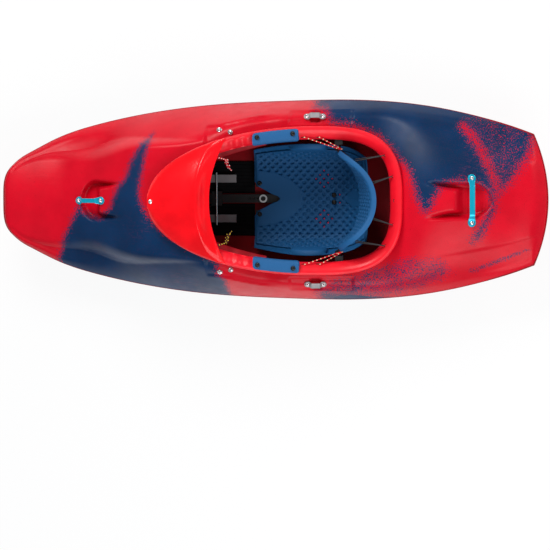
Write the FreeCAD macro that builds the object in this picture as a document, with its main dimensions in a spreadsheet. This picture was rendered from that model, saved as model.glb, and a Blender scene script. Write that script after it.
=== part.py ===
import FreeCAD, Part
import math
import os
from bisect import bisect_right

# A whitewater freestyle kayak, in millimetres. The bow points along -X, port is -Y and +Z is up.
# The origin is under the middle of the boat, at the level of the lowest point of the hull.

Vector = FreeCAD.Vector

SIZES = {
    # shell
    "boat_length": 1820.0,
    "boat_beam": 664.0,
    "boat_depth": 366.0,
    "shell_wall": 5.0,
    "seam_land": 8.0,
    "bow_corner_inset": 25.0,
    "stern_corner_inset": 47.0,
    # cockpit rim
    "rim_middle_x": 150.0,
    "rim_front_reach": 549.0,
    "rim_rear_reach": 290.0,
    "rim_half_width": 246.0,
    "rim_rear_squareness": 2.9,
    "lip_width": 43.0,
    "lip_edge_height": 15.0,
    "lip_fall": 25.0,
    "rim_wall": 5.0,
    "rim_wall_inset": 25.0,
    "fit_clearance": 0.3,
    "soft_clearance": 0.9,
    # raised cap over the front of the cockpit
    "riser_wall": 4.0,
    "riser_bed": 1.0,
    "riser_peak": 60.0,
    "riser_rear_x": -187.0,
    "riser_tip_reach": 52.0,
    "riser_tip_half_width": 190.0,
    # grab handles
    "bow_handle_x": -604.0,
    "bow_handle_length": 110.0,
    "bow_handle_pitch": 86.0,
    "stern_handle_x": 667.0,
    "stern_handle_length": 174.0,
    "stern_handle_pitch": 148.0,
    "handle_width": 26.0,
    "handle_waist": 15.0,
    "handle_thickness": 5.0,
    "handle_arch": 12.0,
    "handle_screw_hole": 6.6,
    # wells in the deck under the handles
    "well_depth": 40.0,
    "bow_well_half_width": 72.0,
    "stern_well_half_width": 60.0,
    # lifting bars beside the cockpit
    "bar_x": 147.0,
    "bar_y": 276.0,
    "bar_length": 73.0,
    "bar_width": 20.0,
    "bar_height": 14.0,
    "bar_thickness": 5.0,
    "bar_pitch": 53.0,
    "bar_pocket_depth": 9.0,
    "bar_scoop_depth": 12.0,
    "bar_scoop_length": 34.0,
    "bar_pocket_length": 207.0,
    "bar_pocket_width": 40.0,
    # button-head screws
    "screw_shank": 6.0,
    "screw_head": 12.0,
    "screw_head_height": 4.0,
    "screw_length": 26.0,
    # thigh hooks under the rim
    "hook_front_x": -185.0,
    "hook_length": 172.0,
    "hook_outer_y": 248.0,
    "hook_inner_y": 152.0,
    "hook_thickness": 5.0,
    "hook_drop": 26.0,
    "hook_screw_pitch": 36.0,
    "hook_screw_x": -145.0,
    "hook_screw_y": 229.5,
    "hook_screw_skew": 3.8,
    # thigh braces on the rim
    "brace_x": 27.0,
    "brace_length": 148.0,
    "brace_width": 38.0,
    "brace_thickness": 13.0,
    "brace_clearance": 4.2,
    "brace_pitch": 118.0,
    "brace_slot": 32.0,
    "brace_slot_width": 7.0,
    "brace_bolt": 6.0,
    "brace_bolt_head": 14.0,
    "brace_inset": 24.0,
    # seat
    "seat_front_x": -88.0,
    "seat_rear_x": 306.0,
    "seat_half_width": 186.0,
    "seat_floor": 40.0,
    "seat_side_rise": 105.0,
    "seat_rear_rise": 92.0,
    "seat_notch_depth": 85.0,
    "seat_notch_half_width": 52.0,
    "seat_pan_wall": 4.0,
    "seat_bend": 70.0,
    "seat_bolt_inset": 16.0,
    "seat_rear_bolt_x": 182.0,
    "seat_rear_bolt_spacing": 24.0,
    "seat_pad_thickness": 9.0,
    "hip_pad_x": 42.0,
    "hip_pad_length": 128.0,
    "hip_pad_thickness": 20.0,
    "hip_pad_foot": 92.0,
    "hip_pad_height": 90.0,
    # seat rails and floor mat
    "rail_spacing": 104.0,
    "rail_width": 26.0,
    "rail_length": 330.0,
    "rail_front_x": -86.0,
    "mat_front_x": -330.0,
    "mat_length": 238.0,
    "mat_half_width": 125.0,
    "mat_thickness": 5.4,
    # backband
    "band_half_width": 170.0,
    "band_apex_x": 348.0,
    "band_sweep": 138.0,
    "band_recline": 100.0,
    "band_bottom": 178.0,
    "band_top": 334.0,
    "band_shell": 9.0,
    "band_pad": 12.0,
    # footrest
    "footrest_x": -600.0,
    "footrest_width": 210.0,
    "footrest_height": 118.0,
    "footrest_thickness": 12.0,
    "footrest_bottom": 108.0,
    "foot_pad_thickness": 15.0,
    "foot_pad_width": 92.0,
    "arm_spacing": 134.0,
    "arm_width": 26.0,
    "arm_thickness": 7.0,
    "arm_level": 28.0,
    "arm_overhang": 66.0,
    "arm_bend_x": -320.0,
    "rod_diameter": 7.0,
    "rod_length": 176.0,
    "rod_x": -218.0,
    # index beam between the rails
    "beam_width": 28.0,
    "beam_height": 17.0,
    "beam_front_x": -330.0,
    "beam_length": 330.0,
    "beam_hole": 7.0,
    "beam_hole_pitch": 14.5,
    "beam_first_hole_x": -78.0,
    "beam_last_hole_x": -108.0,
    "knob_diameter": 27.0,
    "knob_bore": 16.0,
    "knob_height": 6.0,
    "knob_x": -60.0,
    # foam pillars
    "pillar_width": 60.0,
    "bow_pillar_gap": 6.0,
    "stern_pillar_gap": 16.0,
    "bow_pillar_front": -840.0,
    "bow_pillar_rear": -690.0,
    "stern_pillar_front": 455.0,
    "stern_pillar_rear": 800.0,
    # cords
    "cord_hole": 5.5,
    "bungee_diameter": 4.5,
    "tension_cord_diameter": 4.0,
    "tie_cord_diameter": 4.0,
}

doc = FreeCAD.newDocument("kayak")
sheet = doc.addObject("Spreadsheet::Sheet", "Sizes")
for row, (alias, number) in enumerate(SIZES.items(), start=1):
    sheet.set("A%d" % row, alias)
    sheet.set("B%d" % row, repr(number))
    sheet.setAlias("B%d" % row, alias)
doc.recompute()


def size(alias):
    """The number that the sheet holds under this alias."""
    return float(getattr(sheet, alias))


# ---------------------------------------------------------------- lines drawing

def line(points):
    """A function of one number: the natural cubic spline through the points, straight beyond its ends."""
    xs = [point[0] for point in points]
    ys = [point[1] for point in points]
    count = len(xs)
    gaps = [xs[i + 1] - xs[i] for i in range(count - 1)]
    rises = [(ys[i + 1] - ys[i]) / gaps[i] for i in range(count - 1)]
    bends = [0.0] * count
    sweep = [0.0] * count
    carry = [0.0] * count
    for i in range(1, count - 1):
        pivot = 2.0 * (gaps[i - 1] + gaps[i]) - gaps[i - 1] * sweep[i - 1]
        sweep[i] = gaps[i] / pivot
        carry[i] = (6.0 * (rises[i] - rises[i - 1]) - gaps[i - 1] * carry[i - 1]) / pivot
    for i in range(count - 2, 0, -1):
        bends[i] = carry[i] - sweep[i] * bends[i + 1]
    first_slope = rises[0] - gaps[0] * (2.0 * bends[0] + bends[1]) / 6.0
    last_slope = rises[-1] + gaps[-1] * (bends[-2] + 2.0 * bends[-1]) / 6.0

    def value(x):
        if x <= xs[0]:
            return ys[0] + first_slope * (x - xs[0])
        if x >= xs[-1]:
            return ys[-1] + last_slope * (x - xs[-1])
        i = bisect_right(xs, x) - 1
        left = xs[i + 1] - x
        right = x - xs[i]
        gap = gaps[i]
        straight = (ys[i] * left + ys[i + 1] * right) / gap
        sag = bends[i] * left * (gap * gap - left * left) + bends[i + 1] * right * (gap * gap - right * right)
        return straight - sag / (6.0 * gap)

    return value


def smooth_min(a, b, radius):
    """The smaller of two heights, rounded over where they meet."""
    if radius <= 0.0:
        return min(a, b)
    near = max(radius - abs(a - b), 0.0) / radius
    return min(a, b) - near * near * radius / 4.0


def ramp(value, low, high):
    """0 below low, 1 above high and a smooth step between."""
    share = min(max((value - low) / (high - low), 0.0), 1.0)
    return share * share * (3.0 - 2.0 * share)


# The lines are drawn for this boat, and the sheet's length, beam and depth stretch them.
DRAWN_LENGTH, DRAWN_BEAM, DRAWN_DEPTH = 1820.0, 664.0, 366.0
LONG = size("boat_length") / DRAWN_LENGTH
WIDE = size("boat_beam") / DRAWN_BEAM
DEEP = size("boat_depth") / DRAWN_DEPTH

BOW_CORNER = -885.0
STERN_CORNER = 863.0
BOW_CORNER_X = BOW_CORNER * LONG
STERN_CORNER_X = STERN_CORNER * LONG

# half the beam at the seam
drawn_half_beam = line([
    (-885, 112), (-865, 132), (-820, 162), (-740, 205), (-620, 247), (-460, 283), (-300, 307), (-140, 321),
    (60, 329), (220, 332), (380, 326), (540, 306), (700, 270), (800, 240), (863, 217),
])
# height of the seam between deck and hull
drawn_seam = line([
    (-910, 226), (-862, 206), (-803, 182), (-744, 163), (-686, 150), (-600, 141), (-480, 141), (-334, 147),
    (-129, 153), (174, 161), (350, 164), (526, 167), (701, 172), (877, 178), (910, 179),
])
# height of the flat bottom
drawn_keel = line([
    (-910, 196), (-880, 178), (-850, 160), (-780, 126), (-700, 92), (-620, 63), (-540, 44), (-460, 29),
    (-340, 13), (-220, 4), (-100, 0), (0, 1), (102, 7), (222, 16), (342, 25), (422, 34), (503, 45), (583, 61),
    (663, 82), (743, 105), (823, 130), (893, 155), (910, 162),
])
# height of the deck on the middle line, carried on through the cockpit
drawn_crown = line([
    (-905, 241), (-880, 243), (-820, 243), (-780, 244), (-740, 247), (-700, 254), (-660, 268), (-619, 284),
    (-539, 317), (-459, 348), (-399, 361), (-300, 366), (-200, 363), (-120, 350), (0, 322), (100, 297),
    (200, 276), (310, 263), (380, 270), (440, 290), (503, 306), (543, 309), (583, 306), (623, 299),
    (703, 277), (743, 260), (783, 243), (823, 229), (863, 219),
])
# how fast the deck falls away from the middle line, per squared millimetre
drawn_camber = line([
    (-885, 0.0012), (-780, 0.0012), (-616, 0.0015), (-500, 0.0007), (-420, 0.0003), (-300, 0.0001), (-120, 0.0001),
    (300, 0.00012), (440, 0.0006), (576, 0.0011), (733, 0.00095), (833, 0.0006), (863, 0.0004),
])
# slope of the flank above the seam
drawn_flank_slope = line([
    (-885, 2.2), (-810, 2.1), (-700, 1.7), (-616, 1.7), (-520, 2.0), (-420, 2.6), (-300, 2.5), (-120, 3.5),
    (100, 3.4), (300, 2.5), (420, 2.3), (576, 1.8), (733, 1.15), (863, 0.75),
])
# height above the seam where the flank levels out, and how far inside the seam it rises again
drawn_flank_level = line([
    (-885, 44), (-735, 50), (-616, 70), (-540, 105), (-450, 210), (-350, 300), (0, 420), (300, 320),
    (440, 230), (576, 170), (733, 120), (863, 60),
])
drawn_flank_step = line([(-885, 22), (-810, 26), (-735, 48), (-616, 74), (-520, 66), (-420, 80), (863, 90)])
# height of the top of the cockpit rim
drawn_rim_top = line([
    (-399, 394), (-300, 395), (-150, 385), (-40, 363), (117, 331), (230, 309), (310, 300), (380, 300), (440, 306),
])

# where the handle wells start and end, along the boat
BOW_WELL_FRONT, BOW_WELL_MIDDLE, BOW_WELL_TONGUE, BOW_WELL_REAR = -638.0, -588.0, -574.0, -478.0
STERN_WELL_FRONT, STERN_WELL_TONGUE, STERN_WELL_MIDDLE, STERN_WELL_REAR = 492.0, 614.0, 668.0, 732.0


def half_beam(x):
    """Half the beam at this station."""
    return WIDE * drawn_half_beam(min(max(x / LONG, BOW_CORNER), STERN_CORNER))


def seam_height(x):
    """Height of the seam at this station."""
    return DEEP * drawn_seam(x / LONG)


def bow_edge(v):
    """Station of the blunt bow edge at this share of the half beam."""
    return BOW_CORNER_X - size("bow_corner_inset") * (1.0 - v ** 4)


def stern_edge(v):
    """Station of the arched stern edge at this share of the half beam."""
    return STERN_CORNER_X + size("stern_corner_inset") * (1.0 - v * v)


def bow_well(x, y):
    """Depth of the finger well under the bow handle: a crescent round a tongue that runs into the deck."""
    if not BOW_WELL_FRONT - 10.0 < x < BOW_WELL_REAR:
        return 0.0
    width = size("bow_well_half_width")
    if x < BOW_WELL_MIDDLE:
        reach = (x - BOW_WELL_MIDDLE) / (BOW_WELL_MIDDLE - BOW_WELL_FRONT)
        outer = width * math.sqrt(max(1.0 - reach * reach, 0.0))
    else:
        outer = width - 12.0 * (x - BOW_WELL_MIDDLE) / (BOW_WELL_REAR - BOW_WELL_MIDDLE)
    tongue_share = (x - BOW_WELL_TONGUE) / (BOW_WELL_REAR - BOW_WELL_TONGUE)
    tongue = 38.0 + 24.0 * max(tongue_share, 0.0)
    inside = ramp(outer - abs(y), 0.0, 18.0)
    clear = 1.0 - ramp(tongue - abs(y), -12.0, 4.0) * ramp(x, BOW_WELL_TONGUE - 12.0, BOW_WELL_TONGUE + 4.0)
    fade = 1.0 - ramp(tongue_share, 0.0, 1.0)
    return size("well_depth") * inside * clear * fade


def stern_well(x, y):
    """Depth of the finger well under the stern handle: two grooves beside a tongue that end in one hollow."""
    if not STERN_WELL_FRONT < x < STERN_WELL_REAR + 10.0:
        return 0.0
    width = size("stern_well_half_width")
    if x > STERN_WELL_MIDDLE:
        reach = (x - STERN_WELL_MIDDLE) / (STERN_WELL_REAR - STERN_WELL_MIDDLE)
        outer = width * math.sqrt(max(1.0 - reach * reach, 0.0))
    else:
        outer = width + 8.0 * (STERN_WELL_MIDDLE - x) / (STERN_WELL_MIDDLE - STERN_WELL_FRONT)
    tongue_share = (STERN_WELL_TONGUE - x) / (STERN_WELL_TONGUE - STERN_WELL_FRONT)
    tongue = 35.0 + 31.0 * max(tongue_share, 0.0) ** 1.5
    inside = ramp(outer - abs(y), 0.0, 16.0)
    clear = 1.0 - ramp(tongue - abs(y), -10.0, 4.0) * ramp(STERN_WELL_TONGUE + 26.0 - x, 0.0, 30.0)
    fade = 1.0 - ramp(tongue_share, 0.1, 1.0)
    rising = 1.0 - 0.6 * ramp(x, STERN_WELL_MIDDLE, STERN_WELL_REAR)
    return size("well_depth") * inside * clear * fade * rising


def bar_pocket(x, y):
    """Depth of the flat pocket that a lifting bar lies in."""
    half_length = size("bar_pocket_length") / 2.0
    half_width = size("bar_pocket_width") / 2.0
    along = half_length - abs(x - size("bar_x") - 20.0)
    across = half_width - abs(abs(y) - size("bar_y"))
    under = size("bar_scoop_length") / 2.0 - abs(x - size("bar_x"))
    pocket = size("bar_pocket_depth") * ramp(along, -2.0, 8.0)
    return (pocket + size("bar_scoop_depth") * ramp(under, -1.0, 6.0)) * ramp(across, -2.0, 8.0)


def hook_pocket(x, y):
    """Depth of the long pocket outside the rim that the thigh hook's screws stand in."""
    along = ramp(x, -212.0, -200.0) * (1.0 - ramp(x, -20.0, 44.0))
    outer = 248.0 + 34.0 * ramp(x, -205.0, 20.0)
    return 9.0 * along * ramp(outer - abs(y), -2.0, 10.0)


def deck_height(x, y):
    """Height of the outer face of the deck."""
    drawn_x = x / LONG
    width = half_beam(x)
    share = min(abs(y) / width, 1.0)
    inside = max(width - abs(y), 0.0)
    from_end = max(min(x - bow_edge(share), stern_edge(share) - x), 0.0)
    seam = seam_height(x)
    crown = DEEP * drawn_crown(drawn_x) - DEEP * drawn_camber(drawn_x) * (y / WIDE) ** 2
    level = DEEP * drawn_flank_level(drawn_x)
    flank = seam + level * (1.0 - math.exp(-DEEP * drawn_flank_slope(drawn_x) * inside / WIDE / level))
    flank += 1.7 * max(inside - WIDE * drawn_flank_step(drawn_x), 0.0)
    end_slope = 1.9 if x < 0.0 else 1.0
    end = seam + end_slope * from_end
    rounding = min(inside, from_end) / 30.0
    height = smooth_min(crown, flank, 34.0 * min(rounding, 1.0))
    height = smooth_min(height, end, 14.0 * min(rounding, 1.0))
    height -= bow_well(drawn_x, y) + stern_well(drawn_x, y)
    if abs(x) < 300.0:
        height -= bar_pocket(x, y) + hook_pocket(x, y)
    return max(height, seam)


# the hull's section: share of the half beam against share of the depth below the seam
hull_section = line([(0.0, 1.0), (0.5, 1.0), (0.66, 0.985), (0.74, 0.90), (0.83, 0.72), (0.885, 0.40),
                     (0.94, 0.17), (1.0, 0.0)])


def hull_height(x, y):
    """Height of the outer face of the hull."""
    width = half_beam(x)
    share = min(abs(y) / width, 1.0)
    from_end = max(min(x - bow_edge(share), stern_edge(share) - x), 0.0)
    seam = seam_height(x)
    drop = seam - DEEP * drawn_keel(x / LONG)
    drop = smooth_min(drop, 2.2 * from_end, 16.0 * min(from_end / 10.0, 1.0))
    part = min(max(hull_section(share), 0.0), 1.0) if share < 1.0 else 0.0
    return seam - drop * part


def inner_height(height, x, y, wall, side):
    """Height of the inner face: the outer one moved in by the wall, measured square to it."""
    best = side * height(x, y) + wall
    slant = wall * math.sqrt(0.5)
    for turn in range(8):
        angle = turn * math.pi / 4.0
        there = side * height(x + wall * math.cos(angle), y + wall * math.sin(angle))
        between = side * height(x + slant * math.cos(angle), y + slant * math.sin(angle))
        best = max(best, there, between + slant)
    return side * best


# ---------------------------------------------------------------- surfaces and solids

def knots(count, degree):
    """Clamped, evenly spaced knots and their multiplicities for this many poles."""
    inner = count - degree - 1
    values = [float(i) for i in range(inner + 2)]
    return values, [degree + 1] + [1] * inner + [degree + 1]


def sheet_face(rows, closed=False):
    """A face whose poles are these rows of points. Closed makes each row run round in a ring."""
    degree_u = min(3, len(rows) - 1)
    u_knots, u_mults = knots(len(rows), degree_u)
    if closed:
        degree_v = 3
        v_knots = [float(i) for i in range(len(rows[0]) + 1)]
        v_mults = [1] * len(v_knots)
    else:
        degree_v = min(3, len(rows[0]) - 1)
        v_knots, v_mults = knots(len(rows[0]), degree_v)
    surface = Part.BSplineSurface()
    surface.buildFromPolesMultsKnots(rows, u_mults, v_mults, u_knots, v_knots, False, closed, degree_u, degree_v)
    return surface.toShape()


def joined(faces):
    """One solid from faces that close a volume."""
    shell = Part.makeShell(faces)
    shell.sewShape()
    if shell.ShapeType != "Shell":
        shell = shell.Shells[0]
    solid = Part.makeSolid(shell)
    if solid.Volume < 0.0:
        solid.reverse()
    return solid


def plate(top, bottom):
    """The solid between two sheets of poles, closed by strips along their four edges."""
    faces = [sheet_face(top), sheet_face(bottom)]
    faces.append(sheet_face([top[0], bottom[0]]))
    faces.append(sheet_face([top[-1], bottom[-1]]))
    faces.append(sheet_face([[row[0] for row in top], [row[0] for row in bottom]]))
    faces.append(sheet_face([[row[-1] for row in top], [row[-1] for row in bottom]]))
    return joined(faces)


def ring(loops):
    """The solid swept round by a closed section, given as one closed loop of points for each corner."""
    faces = [sheet_face([loops[i - 1], loops[i]], closed=True) for i in range(len(loops))]
    return joined(faces)


def put(label, shape, placement=None):
    """Adds one finished sub-part to the document under its own label."""
    feature = doc.addObject("Part::Feature", label)
    feature.Label = label
    feature.Shape = shape
    if placement is not None:
        feature.Placement = placement
    PARTS.append(feature)
    return feature


PARTS = []


def side_prism(points, low_y, high_y):
    """A prism across the boat on a side outline given as (x, z) corners."""
    corners = [Vector(x, low_y, z) for x, z in points]
    face = Part.Face(Part.makePolygon(corners + corners[:1]))
    return face.extrude(Vector(0.0, high_y - low_y, 0.0))


def bound(kind, name, **expressions):
    """A document object whose properties are bound to these expressions."""
    made = doc.addObject(kind, name)
    for path, expression in expressions.items():
        made.setExpression(path.replace("__", "."), expression)
    return made


def finish(made, label):
    """Names a bound object as a finished sub-part."""
    made.Label = label
    PARTS.append(made)
    return made


# ---------------------------------------------------------------- hull and deck

def stations():
    """Stations along the boat, closer together at the ends and at the handle wells."""
    places = [BOW_CORNER]
    while places[-1] < STERN_CORNER:
        x = places[-1]
        in_well = BOW_WELL_FRONT - 30.0 < x < BOW_WELL_REAR or STERN_WELL_FRONT - 20.0 < x < STERN_WELL_REAR + 20.0
        near_end = min(x - BOW_CORNER, STERN_CORNER - x) < 40.0
        at_bar = abs(x - size("bar_x") / LONG) < 42.0
        places.append(x + (9.0 if near_end or at_bar else 12.0 if in_well else 24.0))
    places[-1] = STERN_CORNER
    return [LONG * x for x in places]


STATIONS = stations()
DECK_SHARES = [i / 26.0 for i in range(-26, 27)]
HULL_SHARES = [i / 16.0 for i in range(-16, 17)]
END_FADE = 200.0


def plan_point(station, share, inset):
    """Where a station line crosses a share of the half beam, drawn in from the seam by the inset."""
    from_bow = min((station - BOW_CORNER_X) / END_FADE, 1.0)
    from_stern = min((STERN_CORNER_X - station) / END_FADE, 1.0)
    bow_part = (1.0 - from_bow) ** 2
    stern_part = (1.0 - from_stern) ** 2
    x = station + bow_part * (bow_edge(share) - BOW_CORNER_X + inset)
    x += stern_part * (stern_edge(share) - STERN_CORNER_X - inset)
    return x, share * (half_beam(x) - inset)


def skin(height, shares, side, inset, wall):
    """Rows of poles of one skin of the hull or deck. Its edges lie in the seam."""
    rows = []
    last = len(STATIONS) - 1
    for i, station in enumerate(STATIONS):
        row = []
        for j, share in enumerate(shares):
            x, y = plan_point(station, share, inset)
            if i in (0, last) or j in (0, len(shares) - 1):
                z = seam_height(x)
            elif wall > 0.0:
                z = inner_height(height, x, y, wall, -side)
                z = max(z, seam_height(x)) if side > 0 else min(z, seam_height(x))
            else:
                z = height(x, y)
            row.append(Vector(x, y, z))
        rows.append(row)
    return rows


def shell_solid(height, shares, side):
    """The hull or the deck: an outer and an inner skin that meet the other half in the seam."""
    outer = skin(height, shares, side, 0.0, 0.0)
    inner = skin(height, shares, side, size("seam_land"), size("shell_wall"))
    return plate(outer, inner)


# ---------------------------------------------------------------- cockpit rim

RIM_STEPS = 56


def rim_point(turn, inset=0.0):
    """A point of the rim's outline, counted in turns from the stern round to port, moved inward."""

    def outline(angle):
        across = math.sin(angle)
        along = math.cos(angle)
        power = 2.0 / (size("rim_rear_squareness") if along > 0.0 else 2.0)
        reach = size("rim_rear_reach") if along > 0.0 else size("rim_front_reach")
        x = size("rim_middle_x") + reach * math.copysign(abs(along) ** power, along)
        y = size("rim_half_width") * math.copysign(abs(across) ** power, across)
        return x, y

    angle = turn * 2.0 * math.pi
    x, y = outline(angle)
    ahead = outline(angle + 0.01)
    behind = outline(angle - 0.01)
    run_x = ahead[0] - behind[0]
    run_y = ahead[1] - behind[1]
    length = math.hypot(run_x, run_y)
    return x - inset * run_y / length, y + inset * run_x / length


def rim_top(x):
    """Height of the top of the rim's lip."""
    return DEEP * drawn_rim_top(x / LONG)


def rim_half(x, inset=0.0):
    """Half the width of the rim at this station, less the inset."""
    middle = size("rim_middle_x")
    if x < middle:
        share = (middle - x) / size("rim_front_reach")
        power = 2.0
    else:
        share = (x - middle) / size("rim_rear_reach")
        power = size("rim_rear_squareness")
    return size("rim_half_width") * max(1.0 - share ** power, 0.0) ** (1.0 / power) - inset


def rim_loop(inset, drop=None):
    """One corner of the rim's section carried round the cockpit. No drop means down through the deck."""
    loop = []
    for i in range(RIM_STEPS):
        x, y = rim_point(i / RIM_STEPS, inset)
        outer_x, outer_y = rim_point(i / RIM_STEPS, 0.0)
        top = rim_top(outer_x)
        if drop is None:
            z = min(deck_height(x, y), top - 20.0) - size("shell_wall")
        else:
            z = top - drop
        loop.append(Vector(x, y, z))
    return loop


def lip_section():
    """The lip from its outer edge over the crown to its inner edge: (inset, drop below the crown)."""
    width = size("lip_width")
    fall = size("lip_fall")
    return [(0.0, size("lip_edge_height")), (0.0, 5.0), (4.0, 1.0), (10.0, 0.0), (width * 0.52, fall * 0.16),
            (width * 0.8, fall * 0.54), (width, fall)]


def coaming_shape():
    """The rim: a folded lip that slopes in to the cockpit, on an upright wall."""
    width = size("lip_width")
    fall = size("lip_fall")
    wall = size("rim_wall")
    outer = size("rim_wall_inset")
    loops = [rim_loop(inset, drop) for inset, drop in lip_section()]
    loops.append(rim_loop(width - 1.5, fall + wall * 0.8))
    loops.append(rim_loop(outer + wall + 1.0, fall * 0.8))
    loops.append(rim_loop(outer + wall))
    loops.append(rim_loop(outer))
    loops.append(rim_loop(outer, size("lip_edge_height") + 2.0))
    loops.append(rim_loop(4.0, size("lip_edge_height")))
    return ring(loops)


def cockpit_cut():
    """The prism that opens the deck round the outside of the rim's wall."""
    inset = size("rim_wall_inset") - size("fit_clearance")
    outline = []
    for i in range(RIM_STEPS):
        x, y = rim_point(i / RIM_STEPS, inset)
        outline.append(Vector(x, y, 0.0))
    curve = Part.BSplineCurve()
    places = [float(i) for i in range(RIM_STEPS + 1)]
    curve.buildFromPolesMultsKnots(outline, [1] * len(places), places, True, 3)
    face = Part.Face(Part.Wire([curve.toShape()]))
    face.translate(Vector(0.0, 0.0, seam_height(0.0)))
    return face.extrude(Vector(0.0, 0.0, size("boat_depth")))


# ---------------------------------------------------------------- frames on the shell

def normal_at(x, y):
    """Unit vector square to the deck's outer face."""
    step = 4.0
    slope_x = (deck_height(x + step, y) - deck_height(x - step, y)) / (2.0 * step)
    slope_y = (deck_height(x, y + step) - deck_height(x, y - step)) / (2.0 * step)
    vector = Vector(-slope_x, -slope_y, 1.0)
    vector.normalize()
    return vector


def stand_on(point, up, along=None):
    """A placement at the point with +Z along up, and +X as near to along as it can be."""
    side = up.cross(along if along is not None else Vector(1.0, 0.0, 0.0))
    side.normalize()
    ahead = side.cross(up)
    matrix = FreeCAD.Matrix(
        ahead.x, side.x, up.x, point.x,
        ahead.y, side.y, up.y, point.y,
        ahead.z, side.z, up.z, point.z,
        0.0, 0.0, 0.0, 1.0)
    return FreeCAD.Placement(matrix)


def moved(shape, placement):
    """A copy of the shape at the placement."""
    copy = shape.copy()
    copy.Placement = placement.multiply(copy.Placement)
    return copy


def below_deck(x, y):
    """Height of the inner face of the deck."""
    return inner_height(deck_height, x, y, size("shell_wall"), -1)


def above_floor(x, half_width):
    """Height that clears the hull's inner face over this half width."""
    return max(inner_height(hull_height, x, share * half_width, size("shell_wall"), 1)
               for share in (0.0, 0.5, 1.0)) + size("fit_clearance")


def under_ceiling(x, half_width):
    """Height that clears the deck's inner face over this half width."""
    return min(below_deck(x, share * half_width) for share in (0.0, 0.25, 0.5, 0.75, 1.0)) - size("fit_clearance")


def floor_line(start, stop, half_width, lift=0.0):
    """Corners of a line that lies on the floor from start to stop."""
    steps = max(int((stop - start) / 24.0), 2)
    places = [start + (stop - start) * i / steps for i in range(steps + 1)]
    return [(x, above_floor(x, half_width) + lift) for x in places]


# ---------------------------------------------------------------- screws

def button_screw(name, head, height, shank, length):
    """A button-head screw along -Z with its head standing on z = 0, built from bound primitives."""
    dome = bound("Part::Cone", name + "Head", Radius1=head + " / 2", Radius2=head + " / 3", Height=height)
    stem = bound("Part::Cylinder", name + "Shank", Radius=shank + " / 2", Height=length,
                 Placement__Base__z="-(" + length + ")")
    whole = doc.addObject("Part::Fuse", name + "Blank")
    whole.Base = dome
    whole.Tool = stem
    key = bound("Part::Prism", name + "Key", Circumradius=shank + " / 2.6", Height=height,
                Placement__Base__z=height + " * 0.4")
    key.Polygon = 6
    screw = doc.addObject("Part::Cut", name)
    screw.Base = whole
    screw.Tool = key
    doc.recompute()
    return screw


deck_screw = button_screw("DeckScrew", "Sizes.screw_head", "Sizes.screw_head_height", "Sizes.screw_shank",
                          "Sizes.screw_length")
brace_screw = button_screw("BraceScrew", "Sizes.brace_bolt_head", "Sizes.screw_head_height",
                           "Sizes.brace_bolt", "Sizes.brace_clearance + Sizes.brace_thickness + 7")


def screw_group(label, master, places):
    """One node of identical screws, each a linked copy of the master at its own placement."""
    links = []
    for i, place in enumerate(places):
        link = doc.addObject("App::Link", "%s_%d" % (label, i + 1))
        link.LinkedObject = master
        link.Placement = place
        links.append(link)
    group = doc.addObject("Part::Compound", label)
    group.Links = links
    return finish(group, label)


def screw_bores(places, diameter):
    """Cylinders that clear the shanks of screws at these placements."""
    bores = []
    for place in places:
        bore = Part.makeCylinder(diameter / 2.0, 60.0, Vector(0.0, 0.0, -50.0))
        bores.append(moved(bore, place))
    return bores


# ---------------------------------------------------------------- handles

def handle_shape(length, pitch, end_width, waist, arch):
    """An arched dog-bone bar along X whose feet lie on z = 0, with a screw hole in each foot."""
    thick = size("handle_thickness")
    half = length / 2.0
    foot = (length - pitch) / 2.0 + size("screw_head") / 2.0
    rise = half - foot
    low = [(half, 0.0), (half - foot, 0.0), (half - foot - rise * 0.35, arch), (-half + foot + rise * 0.35, arch),
           (-half + foot, 0.0), (-half, 0.0)]
    high = [(x, z + thick) for x, z in reversed(low)]
    corners = [Vector(x, -end_width, z) for x, z in low + high]
    side = Part.Face(Part.makePolygon(corners + corners[:1])).extrude(Vector(0.0, 2.0 * end_width, 0.0))
    radius = end_width / 2.0
    neck = half - foot - radius * 0.4
    outline = Part.makePolygon([
        Vector(-neck, -waist / 2.0, -1.0), Vector(neck, -waist / 2.0, -1.0), Vector(neck, waist / 2.0, -1.0),
        Vector(-neck, waist / 2.0, -1.0), Vector(-neck, -waist / 2.0, -1.0)])
    tall = arch + thick + 2.0
    plan = Part.Face(outline).extrude(Vector(0.0, 0.0, tall))
    for end in (-1.0, 1.0):
        pad = Part.makeCylinder(radius, tall, Vector(end * (half - radius), 0.0, -1.0))
        taper = Part.Face(Part.makePolygon([
            Vector(end * (half - radius), -radius, -1.0), Vector(end * (half - radius), radius, -1.0),
            Vector(end * (neck - radius), waist / 2.0, -1.0), Vector(end * (neck - radius), -waist / 2.0, -1.0),
            Vector(end * (half - radius), -radius, -1.0)])).extrude(Vector(0.0, 0.0, tall))
        plan = plan.fuse(pad).fuse(taper)
    bar = side.common(plan.removeSplitter()).removeSplitter()
    for end in (-1.0, 1.0):
        hole = Part.makeCylinder(size("handle_screw_hole") / 2.0, tall, Vector(end * pitch / 2.0, 0.0, -1.0))
        bar = bar.cut(hole)
    return bar


def bar_places(place, pitch, lift):
    """Placements of the two screws of a bar that stands at the placement."""
    return [place.multiply(FreeCAD.Placement(Vector(end * pitch / 2.0, 0.0, lift), FreeCAD.Rotation()))
            for end in (-1.0, 1.0)]


def seat_between(first, second, side_up):
    """A placement half way between two deck points, with +X from the first to the second."""
    start = Vector(first[0], first[1], deck_height(first[0], first[1]) + size("fit_clearance"))
    stop = Vector(second[0], second[1], deck_height(second[0], second[1]) + size("fit_clearance"))
    along = stop - start
    along.normalize()
    up = side_up - along * side_up.dot(along)
    up.normalize()
    return stand_on((start + stop) * 0.5, up, along)


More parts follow.
